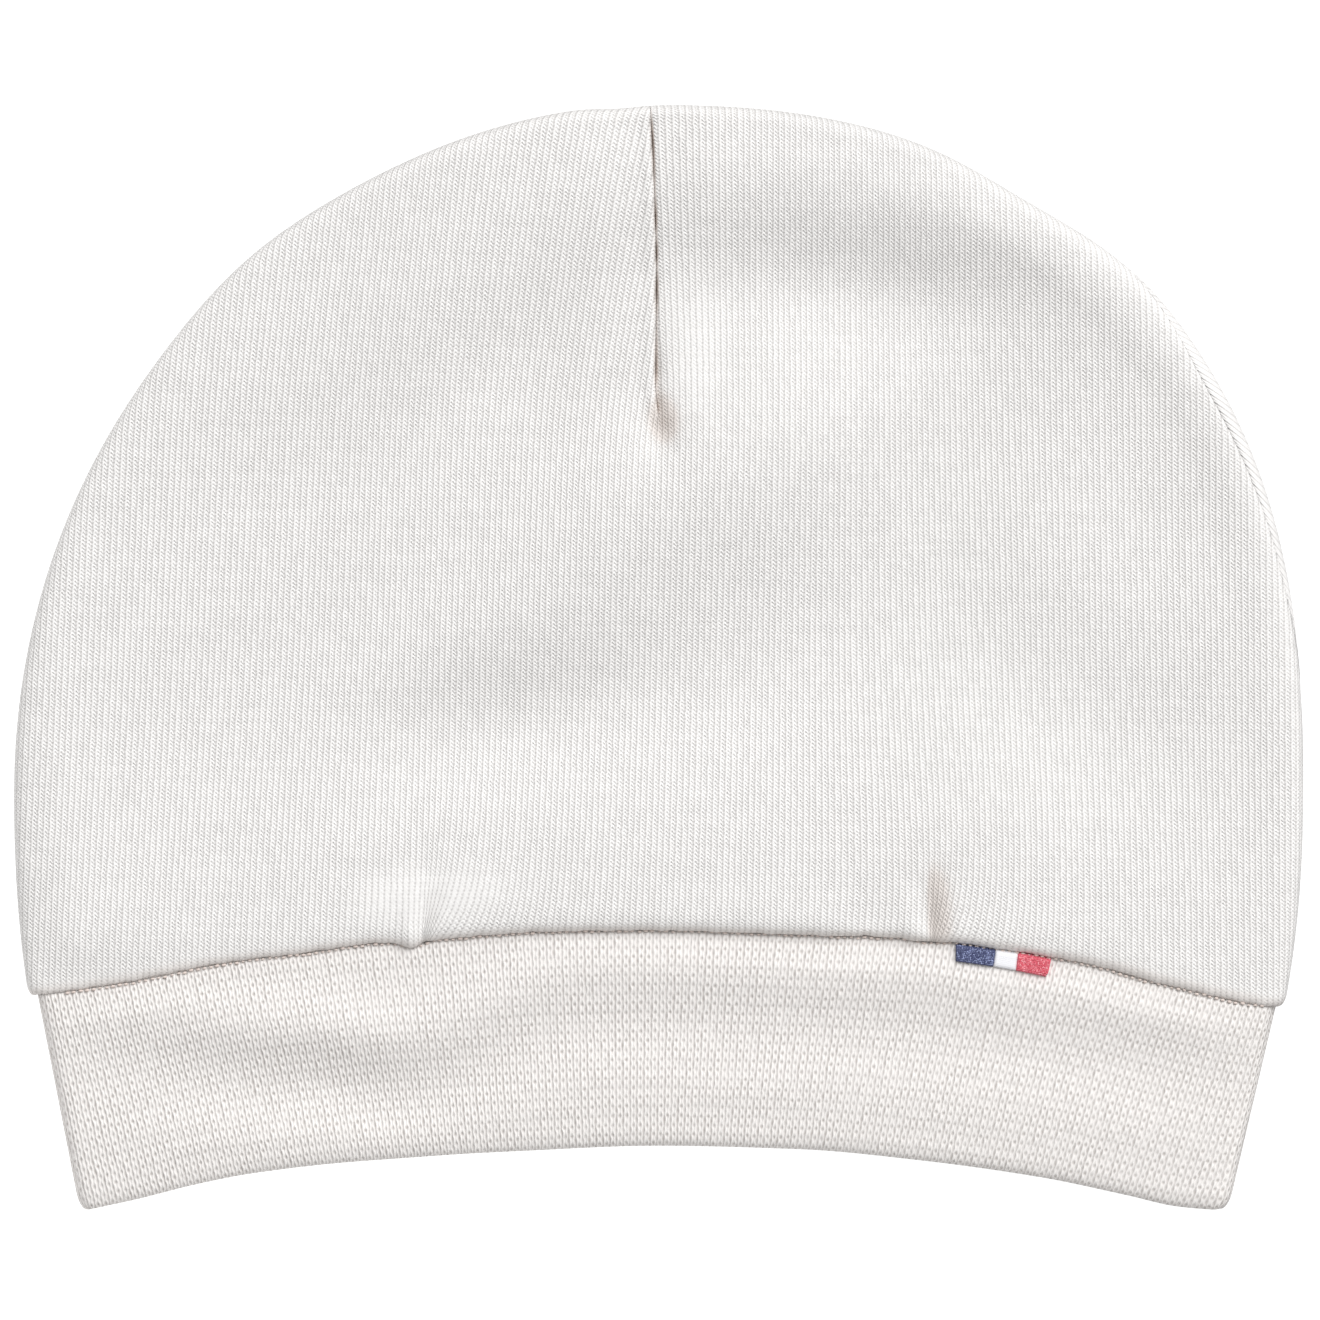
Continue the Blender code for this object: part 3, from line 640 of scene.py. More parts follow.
def rim_faces(fine, coarse):
    """Triangles that join a fine rim to one with half its points. Both are lists of point numbers."""
    triangles = []
    for step in range(len(coarse)):
        a, b = coarse[step], coarse[(step + 1) % len(coarse)]
        p, q, r = (fine[(2 * step + k) % len(fine)] for k in range(3))
        triangles += [(p, a, q), (a, b, q), (q, b, r)]
    return np.array(triangles)


def grid_faces(index):
    corners = [index[:-1, :-1], index[:-1, 1:], index[1:, 1:], index[1:, :-1]]
    return np.stack(corners, axis=-1).reshape(-1, 4)


def link_object(name, data):
    piece = bpy.data.objects.new(name, data)
    bpy.context.scene.collection.objects.link(piece)
    return piece


def mark_points(piece, mark, value):
    """Gives each point a number that a material or a geometry tree reads by the mark's name."""
    layer = piece.data.attributes.new(mark, "FLOAT", "POINT")
    layer.data.foreach_set("value", value.astype(np.float32))


def panel_mesh(name, outer, inner, outward, places, beside, marks):
    """A closed cloth panel from a fine outer grid and an inner grid of half its lines.

    places holds each outer point's place on the cloth twice, because the knit breaks at the dart and at the
    strip on the right: the second one counts where beside is over 0. marks holds what the material reads.
    """
    halved = (slice(None, None, 2), slice(None, None, 2))
    index = np.arange(outer[..., 0].size).reshape(outer.shape[:2])
    in_index = index.size + np.arange(inner[..., 0].size).reshape(inner.shape[:2])
    fine = [index[place] for place in rim_of(*index.shape)]
    coarse = [in_index[place] for place in rim_of(*in_index.shape)]
    groups = [grid_faces(index), grid_faces(in_index)[:, ::-1], rim_faces(fine, coarse)]
    if not outward:
        groups = [faces[:, ::-1] for faces in groups]
    points = np.concatenate([outer.reshape(-1, 3), inner.reshape(-1, 3)])
    beside = np.concatenate([beside.ravel(), beside[halved].ravel()])
    both = [np.concatenate([flat.reshape(-1, 2), flat[halved].reshape(-1, 2)]) for flat in places]
    cloth = [faces + len(points) * (beside[faces].mean(axis=1, keepdims=True) > 0) for faces in groups]
    piece = mesh_of(name, points, groups, np.concatenate(both), cloth, flat=len(groups[2]))
    for mark, value in marks.items():
        value = np.concatenate([value.ravel(), value[halved].ravel()])
        mark_points(piece, mark, np.clip(value, 0, 1))
    return piece


def mesh_of(name, points, face_groups, places, place_groups, flat=0):
    """A smooth mesh, but for its last faces that are flat. place_groups number the places on the cloth as
    face_groups number the points."""
    mesh = bpy.data.meshes.new(name)
    loops = np.concatenate([faces.ravel() for faces in face_groups])
    laid = np.concatenate([faces.ravel() for faces in place_groups])
    sizes = np.concatenate([np.full(len(faces), faces.shape[1]) for faces in face_groups])
    mesh.vertices.add(len(points))
    mesh.vertices.foreach_set("co", points.astype(np.float32).ravel())
    mesh.loops.add(len(loops))
    mesh.loops.foreach_set("vertex_index", loops.astype(np.int32))
    mesh.polygons.add(len(sizes))
    starts = np.concatenate([[0], np.cumsum(sizes)[:-1]])
    mesh.polygons.foreach_set("loop_start", starts.astype(np.int32))
    layer = mesh.uv_layers.new(name="Cloth")
    layer.uv.foreach_set("vector", places[laid].astype(np.float32).ravel())
    mesh.update(calc_edges=True)
    mesh.validate()
    mesh.polygons.foreach_set("use_smooth", np.arange(len(sizes)) < len(sizes) - flat)
    return link_object(name, mesh)


def pulled_flat(u, v, x, y, above_seam):
    """Where the jersey is stretched or rolled so that its loops hardly show: 1 at the strongest."""
    bearing, turn = crown_turn(u, v, 1)
    from_rim = (1 - np.sin(np.clip(turn, 0, 1) * QUARTER)) * HALF_WIDTH
    from_tuck = x - TUCKS[0].across * BAND_HALF
    return np.maximum.reduce([
        patch_at(STRIP_FLAT, np.degrees(bearing), from_rim),
        patch_at(DART_FLAT, *dart_side(x, y)),
        patch_at(TUCK_FLAT, from_tuck, above_seam),
        ease(1 - above_seam / LIP_FLAT),
    ])


def crease_shade(x, y, above_seam):
    """Painted shade where the jersey is pressed together: how much darker and warmer it is painted in broken
    bits along the dart, beside it, in its dimple, along the tucks' creases and on the edge above the band."""
    aside, up = dart_side(x, y)
    in_line = ease(up / LINE_START + 0.5) * ease((DART_LENGTH - up) / LINE_END)
    line = dart_openness(up) * bump_at(aside - LINE_ASIDE, LINE_BREADTH) * in_line
    in_slope = (aside > 0) * ease(up / SLOPE_START + 1) * ease(1 - up / SLOPE_LENGTH)
    slope = SLOPE_SHADE * np.exp(-np.maximum(aside, 0) / SLOPE_BREADTH) * in_slope
    at_tuck = 0
    for tuck in TUCKS:
        strength, breadth, length = tuck.brown
        crease = from_crease(tuck, x, above_seam) - TUCK_SHADE_ASIDE * breadth
        fade = ease((length - above_seam) / (TUCK_SHADE_FADE * length))
        at_tuck = at_tuck + strength * fade * bump_at(crease, breadth * np.where(crease < 0, *TUCK_SHADE_SIDES))
    edge = EDGE_SHADE * ease(1 - above_seam / EDGE_SHADE_HEIGHT)
    return np.maximum.reduce([line, slope + patch_at(DIMPLE_SHADE, aside, up), at_tuck, edge])


def front_shape(u, v):
    base = crown_point(u, v, 1)
    up = base[..., 1] - DART_END_Y
    held = bump_at(base[..., 0], DART_HOLD) * ease(up / DART_HOLD_START + 1)
    base[..., 0] += read_line(DART_LINE, up / DART_LENGTH) * held
    x, y = base[..., 0], base[..., 1]
    reach = np.sin(np.clip(crown_turn(u, v, 1)[1], 0, 1) * QUARTER)
    above_seam = y - seam_y(x / HALF_WIDTH)
    free = ease(above_seam / SEAM_HOLD) * ease((1 - reach) / RIM_HOLD)
    on_top = 1 - edge_bend(reach) ** 2
    outward = dent_depth(x, y) * free - tuck_depth(x, above_seam) - dart_depth(x, y) * on_top
    moved = base + grid_normals(base, 1) * outward[..., None]
    moved[..., 1] -= tuck_notch(x, above_seam) + lip_waver(x, above_seam)
    flat_x, flat_y = unrolled(u, v, 1, base)
    places = []
    for side in (-1, 1):
        shift = cloth_shift(flat_x, flat_y, np.clip(above_seam, 0, None), side)
        places.append(np.stack([(flat_x - shift) / JERSEY_WALE, flat_y / JERSEY_COURSE], axis=-1))
    # crease_shade: where the material paints shade into the creases
    marks = {"smoothed": pulled_flat(u, v, x, y, above_seam), "crease_shade": crease_shade(x, y, above_seam)}
    return moved, places, u, marks


def back_shape(u, v):
    base = crown_point(u, v, -1)
    flat_x, flat_y = unrolled(u, v, -1, base)
    places = np.stack([flat_x / JERSEY_WALE, flat_y / JERSEY_COURSE], axis=-1)
    bearing, turn = crown_turn(u, v, -1)
    round_edge = (QUARTER - bearing) * (HALF_WIDTH + DOME_HEIGHT) / 2
    inside = HALF_WIDTH * (1 - np.sin(turn * QUARTER))
    strip = (round_edge + inside / STRIP_SLOPE) / STRIP_WALE
    strip = np.stack([strip, np.full_like(strip, STRIP_COURSE)], axis=-1)
    shown = bump_at(np.degrees(bearing) - STRIP_BEARING, STRIP_REACH)
    return base, [places, strip], turn - 1, {"smoothed": np.where(turn > 1, 1 - STRIP_LOOPS * shown, 0)}


def crown_panel(name, face, grid, column_crowds, lip_crowd, shape):
    """One jersey panel. shape moves its outer surface and says where each point lies on the cloth."""
    columns = lines_between(-1, 1, grid.across, column_crowds)
    rows = [lines_between(-1, 0, grid.skirt, [lip_crowd])[:-1], lines_between(0, 1, grid.dome)]
    outer, places, beside, marks = shape(*np.meshgrid(columns, np.concatenate(rows)))
    inner = outer - JERSEY * grid_normals(outer, face)
    return panel_mesh(name, outer, inner[::2, ::2], face > 0, places, beside, marks)


def band_front_height(reach, down, x):
    to_left = -x / BAND_HALF
    lower = steps_up(LOWER_TO_LEFT, to_left) + steps_up(LOWER_TO_RIGHT, -to_left)
    sag, place, breadth = FOLD_SAG
    lower = lower + sag * bump_at(to_left - place, breadth)
    folds = sum(fold.rise * bump_at(down - fold.down - lower, fold.breadth) for fold in BAND_FOLDS)
    free = ease(down / BAND_FOLDS[0].down) * ease((1 - down) / FOLDS_END) * (1 - reach**4)
    free = free * (1 + steps_up(STRONGER_TO_LEFT, to_left) + steps_up(STRONGER_TO_RIGHT, -to_left))
    below_edge = down * BAND_HEIGHT - tuck_notch(x, np.zeros_like(x))
    out_of_groove = rounded(1 - (below_edge + GROOVE_FILL) / SWELL_LENGTH, 2)
    swell = BAND_SWELL * out_of_groove * (1 - edge_bend(reach) ** 2)
    return front_height(reach, EDGE_RISE, 0) + BAND_WALL * folds * free + swell


def band_point(around, along):
    """A point of the band's outer side. around turns from 0 at the left edge, over the front, to 2. along
    goes from 0 where the mouth's fold starts, past 1 at the seam, to 2 at the end that is tucked inside."""
    angle = around * math.pi - QUARTER
    across = np.sin(angle)
    reach = np.abs(across)
    down = np.clip(1 - along, 0, 1)
    half = mix(BAND_HALF, MOUTH_HALF, down) + np.where(across < 0, mix(*BAND_LEFT_REACH, down), 0)
    tuck = np.clip(along - 1, 0, 1) * BAND_TUCK
    y = mix(seam_y(across), mouth_y(across) + FOLD_LENGTH + MOUTH_RAISE, down) + tuck
    below_seam = (seam_y(across) - mouth_y(across)) * down
    floor = OVERHANG * (1 - ease(below_seam / BAND_DROP))
    front = (around > 0) & (around < 1)
    z = np.where(front, band_front_height(reach, down, half * across), back_height(reach, floor))
    return np.stack([half * across, y, z], axis=-1)


def end_turn(row, before, normal, length):
    """Rows that carry the cloth round the end of its outer side to its inner one."""
    away = row - before
    away /= np.linalg.norm(away, axis=-1, keepdims=True)
    half_wall = BAND_WALL / 2
    middle = row - normal * half_wall
    turns = np.linspace(0, math.pi, FOLD_ROWS)[1:-1]
    return [middle + half_wall * math.cos(t) * normal + length * math.sin(t) * away for t in turns]


def make_band():
    """One closed ring: down inside, round the mouth's fold, up outside and over its hidden end."""
    half_turn = lines_between(-1, 1, BAND_LINES) / 2 + 0.5
    around = np.concatenate([half_turn[:-1], half_turn[:-1] + 1])
    swell = SWELL_LENGTH / BAND_HEIGHT
    shown = np.linspace(0, 1 - swell, BAND_ROWS)
    along = np.concatenate([shown, 1 - swell * np.array(SWELL_ROWS), np.linspace(1, 2, HIDDEN_ROWS)])
    outer = band_point(*np.meshgrid(around, along))
    wide = np.concatenate([outer[:, -1:], outer, outer[:, :1]], axis=1)
    normal = grid_normals(wide, 1)[:, 1:-1]
    inner = outer - normal * BAND_WALL
    fold = end_turn(outer[0], outer[1], normal[0], FOLD_LENGTH)[::-1]
    end = end_turn(outer[-1], outer[-2], normal[-1], BAND_WALL / 2)
    loop = np.concatenate([inner[::-2], fold, outer, end])
    first_outer = len(loop) - len(outer) - len(end)

    step = np.linalg.norm(np.diff(loop, axis=0), axis=-1).mean(axis=1)
    run = np.concatenate([[0], np.cumsum(step)])
    run = np.append(run - run[first_outer], run[-1] - run[first_outer] + step[-1])
    ring = outer[WALE_ROW]
    arc = np.concatenate([[0], np.cumsum(np.linalg.norm(np.diff(ring, axis=0, append=ring[:1]), axis=-1))])
    wales = round(arc[-1] / BAND_WALE)
    angle = np.append(around, 2.0) * math.pi - QUARTER
    lean = np.tan(np.radians(read_line(BAND_LEAN, np.sin(angle)))) * np.cos(angle)
    middle = np.interp(0.5, around, arc[:-1])
    u = (arc - middle)[None, :] - lean[None, :] * (run[:, None] - BAND_HEIGHT / 2)
    at_seam = run[first_outer + len(along) - HIDDEN_ROWS]
    v = np.broadcast_to(run[:, None] - at_seam + FIRST_HOLE, u.shape)
    places = np.stack([u * wales / arc[-1], v / BAND_COURSE], axis=-1)

    rows, columns = loop.shape[:2]
    r, c = np.meshgrid(np.arange(rows + 1), np.arange(columns + 1), indexing="ij")
    faces = grid_faces((r % rows) * columns + c % columns)
    cloth = grid_faces(r * (columns + 1) + c)
    return mesh_of("band_cloth", loop.reshape(-1, 3), [faces], places.reshape(-1, 2), [cloth])


def on_band(x, y):
    """Height of the band's front at a place of the plan. Its width there is found step by step."""
    half = BAND_HALF
    for _ in range(4):
        across = x / half
        top, bottom = seam_y(across), mouth_y(across) + FOLD_LENGTH + MOUTH_RAISE
        down = np.clip((top - y) / (top - bottom), 0, 1)
        half = mix(BAND_HALF, MOUTH_HALF, down)
    return band_front_height(np.abs(across), down, x)


def tab_mesh(name, left, right):
    """One field of the tab: a thin closed pad on the band, from under the crown's lip to its lower fold."""
    length = math.dist(left.top, right.top)
    columns = np.linspace(TAB_APART, 1 - TAB_APART, round(length / TAB_PITCH) + 1)
    rows = np.linspace(0, 1, round(math.dist(left.top, left.bottom) / TAB_PITCH) + 1)
    rows = np.concatenate([rows[:-1], 1 - rows[1] * np.array(TAB_FOLD_ROWS)])
    u, v = np.meshgrid(columns, rows)
    top = mix(np.array(left.top), np.array(right.top), u[..., None])
    bottom = mix(np.array(left.bottom), np.array(right.bottom), u[..., None])
    plan = mix(top, bottom, v[..., None])
    corner_length, corner_height = CORNER_SIZE
    corner = ease((v - 1) / corner_height + 1) ** 2 * ease((u - 1) / corner_length + 1) ** 2
    x, y = plan[..., 0] - right.corner * corner, plan[..., 1]
    lying = on_band(x, y) + TAB_CLEAR
    fold = rounded((v - 1) / TAB_FOLD + 1, TAB_FOLD_POWER)
    to_end = np.clip((np.abs(2 * u - 1) - 1) / TAB_SIDE + 1, 0, 1)
    side = 1 - TAB_SIDE_DROP * to_end**2
    at_seam = mix(TAB_UNDER_LIP, 1, ease(v / TAB_RISE))
    tall = TAB_THICKNESS * at_seam * mix(TAB_FOLD_LEFT, 1, fold) * side
    top = np.stack([x, y, lying + tall], axis=-1)
    under = np.stack([x, y, lying], axis=-1)
    index = np.arange(x.size).reshape(x.shape)
    rim = [index[place] for place in rim_of(*index.shape)]
    rim_quads = [(a, a + x.size, b + x.size, b) for a, b in zip(rim, rim[1:] + rim[:1])]
    groups = [grid_faces(index)[:, ::-1], grid_faces(index + x.size), np.array(rim_quads)[:, ::-1]]
    points = np.concatenate([top.reshape(-1, 3), under.reshape(-1, 3)])
    piece = mesh_of(name, points, groups, points[:, :2], groups)
    inside = np.zeros(x.shape)
    inside[1:-3, 1:-1] = 1
    mark_points(piece, "looped", np.concatenate([inside.ravel(), 0 * inside.ravel()]))
    return piece


def seam_path():
    """A line of points and edges for the stitches to follow, in the groove between crown and band."""
    across = np.linspace(*STITCH_ROW, STITCH_POINTS)
    x = BAND_HALF * across
    at_seam = np.zeros_like(x)
    y = seam_y(across) - tuck_notch(x, at_seam) - STITCH_BELOW
    z = band_front_height(np.abs(across), at_seam, x) + STITCH_ABOVE
    mesh = bpy.data.meshes.new("band_seam_stitches")
    mesh.from_pydata(np.stack([x, y, z], axis=-1).tolist(), [(k, k + 1) for k in range(len(x) - 1)], [])
    return link_object(mesh.name, mesh)


# Nodes
class Tree:
    """Adds nodes to a tree and links them by name."""

    def __init__(self, tree):
        self.tree = tree

    def link(self, output, socket):
        self.tree.links.new(output, socket)

    def add(self, kind, values=(), **settings):
        node = self.tree.nodes.new(kind)
        for key, value in settings.items():
            setattr(node, key, value)
        for socket, value in dict(values).items():
            if hasattr(value, "is_output"):
                self.link(value, node.inputs[socket])
            else:
                node.inputs[socket].default_value = value
        return node

    def math(self, operation, *values):
        return self.add("ShaderNodeMath", enumerate(values), operation=operation).outputs[0]

    def times(self, first, *others):
        for other in others:
            first = self.math("MULTIPLY", first, other)
        return first

    def scaled(self, value, scale, more):
        return self.math("MULTIPLY_ADD", value, scale, more)

    def blend(self, first, second, share):
        return self.math("ADD", self.times(self.math("SUBTRACT", second, first), share), first)

    def rise(self, value, low, high):
        """0 at low, 1 at high, and smooth between."""
        node = self.add("ShaderNodeMapRange", {"Value": value, "From Min": low, "From Max": high},
                        interpolation_type="SMOOTHSTEP")
        return node.outputs["Result"]

    def bell(self, distance, breadth):
        """1 where distance is 0, fading over breadth."""
        share = self.math("DIVIDE", distance, breadth)
        return self.math("EXPONENT", self.times(share, share, -1.0))

    def from_middle(self, value):
        """How far a value is from the middle between two whole numbers: -0.5 to 0.5."""
        return self.math("SUBTRACT", self.math("FRACT", value), 0.5)

    def vector(self, operation, *values):
        sockets = dict(enumerate(values))
        if operation == "SCALE":
            sockets = {0: values[0], "Scale": values[1]}
        return self.add("ShaderNodeVectorMath", sockets, operation=operation).outputs[0]

    def xyz(self, x, y, z=0.0):
        return self.add("ShaderNodeCombineXYZ", {"X": x, "Y": y, "Z": z}).outputs[0]

    def colours(self, first, second, share):
        first, second = (value if hasattr(value, "is_output") else (*value, 1) for value in (first, second))
        node = self.add("ShaderNodeMix", {"Factor": share, 6: first, 7: second}, data_type="RGBA")
        return node.outputs[2]

    def mark(self, name):
        return self.add("ShaderNodeAttribute", attribute_name=name).outputs["Fac"]

    def object_place(self):
        return self.add("ShaderNodeTexCoord").outputs["Object"]

    def split(self, place):
        return self.add("ShaderNodeSeparateXYZ", {0: place}).outputs

    def noise(self, place, scale, detail):
        return self.add("ShaderNodeTexNoise", {"Vector": place, "Scale": scale, "Detail": detail}).outputs

    def grown(self, kind, values=(), **settings):
        return self.add("GeometryNode" + kind, values, **settings).outputs[0]


def new_group(name, inputs, outputs, kind="ShaderNodeTree"):
    """A node group with inputs of a name, kind and first value each, and outputs of a name and kind each."""
    group = bpy.data.node_groups.new(name, kind)
    for socket, socket_kind, value in inputs:
        made = group.interface.new_socket(socket, in_out="INPUT", socket_type="NodeSocket" + socket_kind)
        if value is not None:
            made.default_value = value
    for socket, socket_kind in outputs:
        group.interface.new_socket(socket, in_out="OUTPUT", socket_type="NodeSocket" + socket_kind)
    t = Tree(group)
    return group, t, t.add("NodeGroupInput").outputs, t.add("NodeGroupOutput").inputs


def growing_group(name, *sizes):
    """A geometry tree that takes a mesh, scatters something on it and gives a mesh of one material back."""
    inputs = [("Geometry", "Geometry", None), *((size, "Float", 0.0) for size in (*sizes, "Scatter"))]
    inputs += [("Seed", "Int", 0), ("Material", "Material", None)]
    return new_group(name, inputs, [("Geometry", "Geometry")], kind="GeometryNodeTree")


def random_node(t, given, kind, bounds):
    return t.add("FunctionNodeRandomValue", {**bounds, "Seed": given["Seed"]}, data_type=kind).outputs


def random_value(t, given, low, high):
    return random_node(t, given, "FLOAT", {2: low, 3: high})[1]


def random_vector(t, given, low, high):
    return random_node(t, given, "FLOAT_VECTOR", {0: low, 1: high})[0]


def scattered(t, given):
    """A small shift by chance, to any side and down."""
    most = given["Scatter"]
    least = t.times(most, -1.0)
    return random_vector(t, given, t.xyz(least, least, least), t.xyz(most, most))


def made_real(t, given, out, instances):
    real = t.grown("RealizeInstances", {0: instances})
    t.link(t.grown("SetMaterial", {"Geometry": real, "Material": given["Material"]}), out["Geometry"])


def sewn_stitches():
    """Rounded stitches along a line, each a little unlike the next, which bridge the groove of a seam."""
    group, t, given, out = growing_group("sewn_stitches", "Pitch", "Length", "Thickness")
    line = t.grown("MeshToCurve", {"Mesh": given["Geometry"]})
    line = t.grown("ResampleCurve", {"Curve": line, "Length": given["Pitch"]}, mode="LENGTH")
    moved = t.grown("SetPosition", {"Geometry": line, "Offset": scattered(t, given)})
    bead = t.grown("MeshUVSphere", {"Segments": 8, "Rings": 5, "Radius": 0.5})
    bead = t.grown("SetShadeSmooth", {0: bead})
    along = t.add("FunctionNodeAlignRotationToVector", {"Vector": t.grown("InputTangent")}, axis="X")
    size = t.xyz(given["Length"], given["Thickness"], given["Thickness"])
    placed = t.grown("InstanceOnPoints", {
        "Points": moved, "Instance": bead, "Rotation": along.outputs[0],
        "Scale": t.vector("SCALE", size, random_value(t, given, *STITCH_SIZES))})
    made_real(t, given, out, placed)
    return group


def woven_loops():
    """Small upright loops of thread on the points that are marked looped, turned and toned by chance."""
    group, t, given, out = growing_group("woven_loops", "Radius", "Thread")
    sizes = {"Resolution": 5, "Radius": given["Radius"], "Start Angle": 0.0, "Sweep Angle": math.pi}
    arc = t.grown("CurveArc", sizes, mode="RADIUS")
    ring = t.grown("CurvePrimitiveCircle", {"Resolution": 4, "Radius": given["Thread"]}, mode="RADIUS")
    loop = t.grown("CurveToMesh", {"Curve": arc, "Profile Curve": ring})
    loop = t.grown("Transform", {"Geometry": loop, "Rotation": (QUARTER, 0.0, 0.0)})
    marked = t.grown("InputNamedAttribute", {"Name": "looped"}, data_type="FLOAT")
    chosen = t.add("FunctionNodeCompare", {0: marked, 1: 0.5}, data_type="FLOAT", operation="GREATER_THAN")
    turn = random_vector(t, given, (-LOOP_TURN, -LOOP_TURN, 0.0), (LOOP_TURN, LOOP_TURN, LOOP_TWIST))
    placed = t.grown("InstanceOnPoints", {
        "Points": given["Geometry"], "Selection": chosen.outputs[0], "Instance": loop, "Rotation": turn})
    moved = t.grown("TranslateInstances", {"Instances": placed, "Translation": scattered(t, given)})
    toned = t.grown("StoreNamedAttribute", {
        "Geometry": moved, "Name": "tone", "Value": random_value(t, given, 0.0, 1.0)},
        data_type="FLOAT", domain="INSTANCE")
    both = t.add("GeometryNodeJoinGeometry")
    for geometry in (toned, given["Geometry"]):
        t.link(geometry, both.inputs[0])
    made_real(t, given, out, both.outputs[0])
    return group


def grow(piece, group, values):
    """Runs a geometry tree on a piece and keeps the result as its plain mesh."""
    modifier = piece.modifiers.new(group.name, "NODES")
    modifier.node_group = group
    for item in group.interface.items_tree:
        if item.in_out == "INPUT" and item.name in values:
            modifier[item.identifier] = values[item.name]
    depsgraph = bpy.context.evaluated_depsgraph_get()
    mesh = bpy.data.meshes.new_from_object(piece.evaluated_get(depsgraph), depsgraph=depsgraph)
    piece.modifiers.remove(modifier)
    piece.data = mesh
    mesh.name = piece.name


def wobbled(t, given, scale):
    """Places on the cloth, moved a little so that no two loops are quite alike."""
    centred = t.vector("SUBTRACT", t.noise(given["Place"], scale, 2.0)["Color"], (0.5, 0.5, 0.5))
    moved = t.vector("ADD", given["Place"], t.vector("SCALE", centred, given["Wobble"]))
    return t.split(moved)


def chance(t, across, up):
    """A random number for each loop."""
    loop = t.xyz(t.math("FLOOR", across), t.math("FLOOR", up))
    return t.add("ShaderNodeTexWhiteNoise", {"Vector": loop}, noise_dimensions="3D").outputs["Value"]


def knit_group(name, sizes):
    """An empty group for one kind of knit, which takes places counted in wales and courses.

    Height is 1 on the back of a thread. Its shade output is 1 in the holes and slits, where the colour gets
    painted shade. Tone differs from loop to loop.
    """
    inputs = [("Place", "Vector", None), *((size, "Float", value) for size, value in sizes.items())]
    return new_group(name, inputs, [("Height", "Float"), ("Gap", "Float"), ("Tone", "Float")])


def give_knit(t, out, thread, hole, slit, tone):
    # low: the holes and slits, which lower the relief and get painted shade
    low = t.math("MAXIMUM", hole, slit)
    t.link(t.times(t.scaled(thread, *THREAD_RISE), t.math("SUBTRACT", 1.0, low)), out["Height"])
    t.link(low, out["Gap"])
    t.link(tone, out["Tone"])


def jersey_group():
    """The loops of fine plain knit, point up. Patches of them are flatter by chance."""
    group, t, given, out = knit_group("jersey_loops", {
        "Slant": 0.6, "Between Wales": 0.5, "Hole": 0.5, "Unlike": 0.5, "Wobble": 0.2, "Pulled Flat": 0.0})
    hole_size = (0.34, 0.26)  # in wales and courses, as the slit's
    slit_size = (0.34, 0.30)
    patch_length, patch_scale, patch_range = 0.09, 1.7, (0.40, 0.60)
    right_leg_range = (0.35, 0.65)
    hole_chance = (0.8, 0.4)  # what chance adds to a hole, and the least of it
    slit_shape = (0.6, 0.4)  # the same for a slit's middle
    loops_hidden, slits_hidden = -0.9, -0.35  # where the knit is pulled flat
    flat_thread = 0.8
    place = wobbled(t, given, scale=0.55)
    aside = t.times(t.math("ABSOLUTE", t.from_middle(place["X"])), 2.0)
    climbed = t.math("ADD", place["Y"], t.times(given["Slant"], aside))
    patch = t.xyz(t.math("FLOOR", place["X"]), t.times(climbed, patch_length))
    even = t.rise(t.noise(patch, patch_scale, 1.0)["Fac"], *patch_range)
    open_knit = t.blend(1.0, even, given["Unlike"])
    open_knit = t.times(open_knit, t.scaled(given["Pulled Flat"], loops_hidden, 1.0))
    right_leg = t.rise(t.math("FRACT", place["X"]), *right_leg_range)
    leg = t.scaled(right_leg, 1 - LEFT_LEG, LEFT_LEG)
    thread = t.math("SINE", t.times(t.math("FRACT", climbed), math.pi))
    thread = t.blend(flat_thread, thread, t.times(open_knit, leg))
    tone = chance(t, place["X"], climbed)
    from_hole = t.from_middle(t.math("ADD", place["Y"], 0.5))
    hole = t.times(t.bell(aside, hole_size[0]), t.bell(from_hole, hole_size[1]))
    hole = t.times(hole, t.scaled(tone, *hole_chance), given["Hole"], open_knit)
    slit = t.scaled(t.bell(t.from_middle(place["Y"]), slit_size[1]), *slit_shape)
    slit = t.times(slit, t.bell(t.math("SUBTRACT", 1.0, aside), slit_size[0]), given["Between Wales"])
    slit = t.times(slit, t.scaled(given["Pulled Flat"], slits_hidden, 1.0))
    give_knit(t, out, thread, hole, slit, tone)
    return group


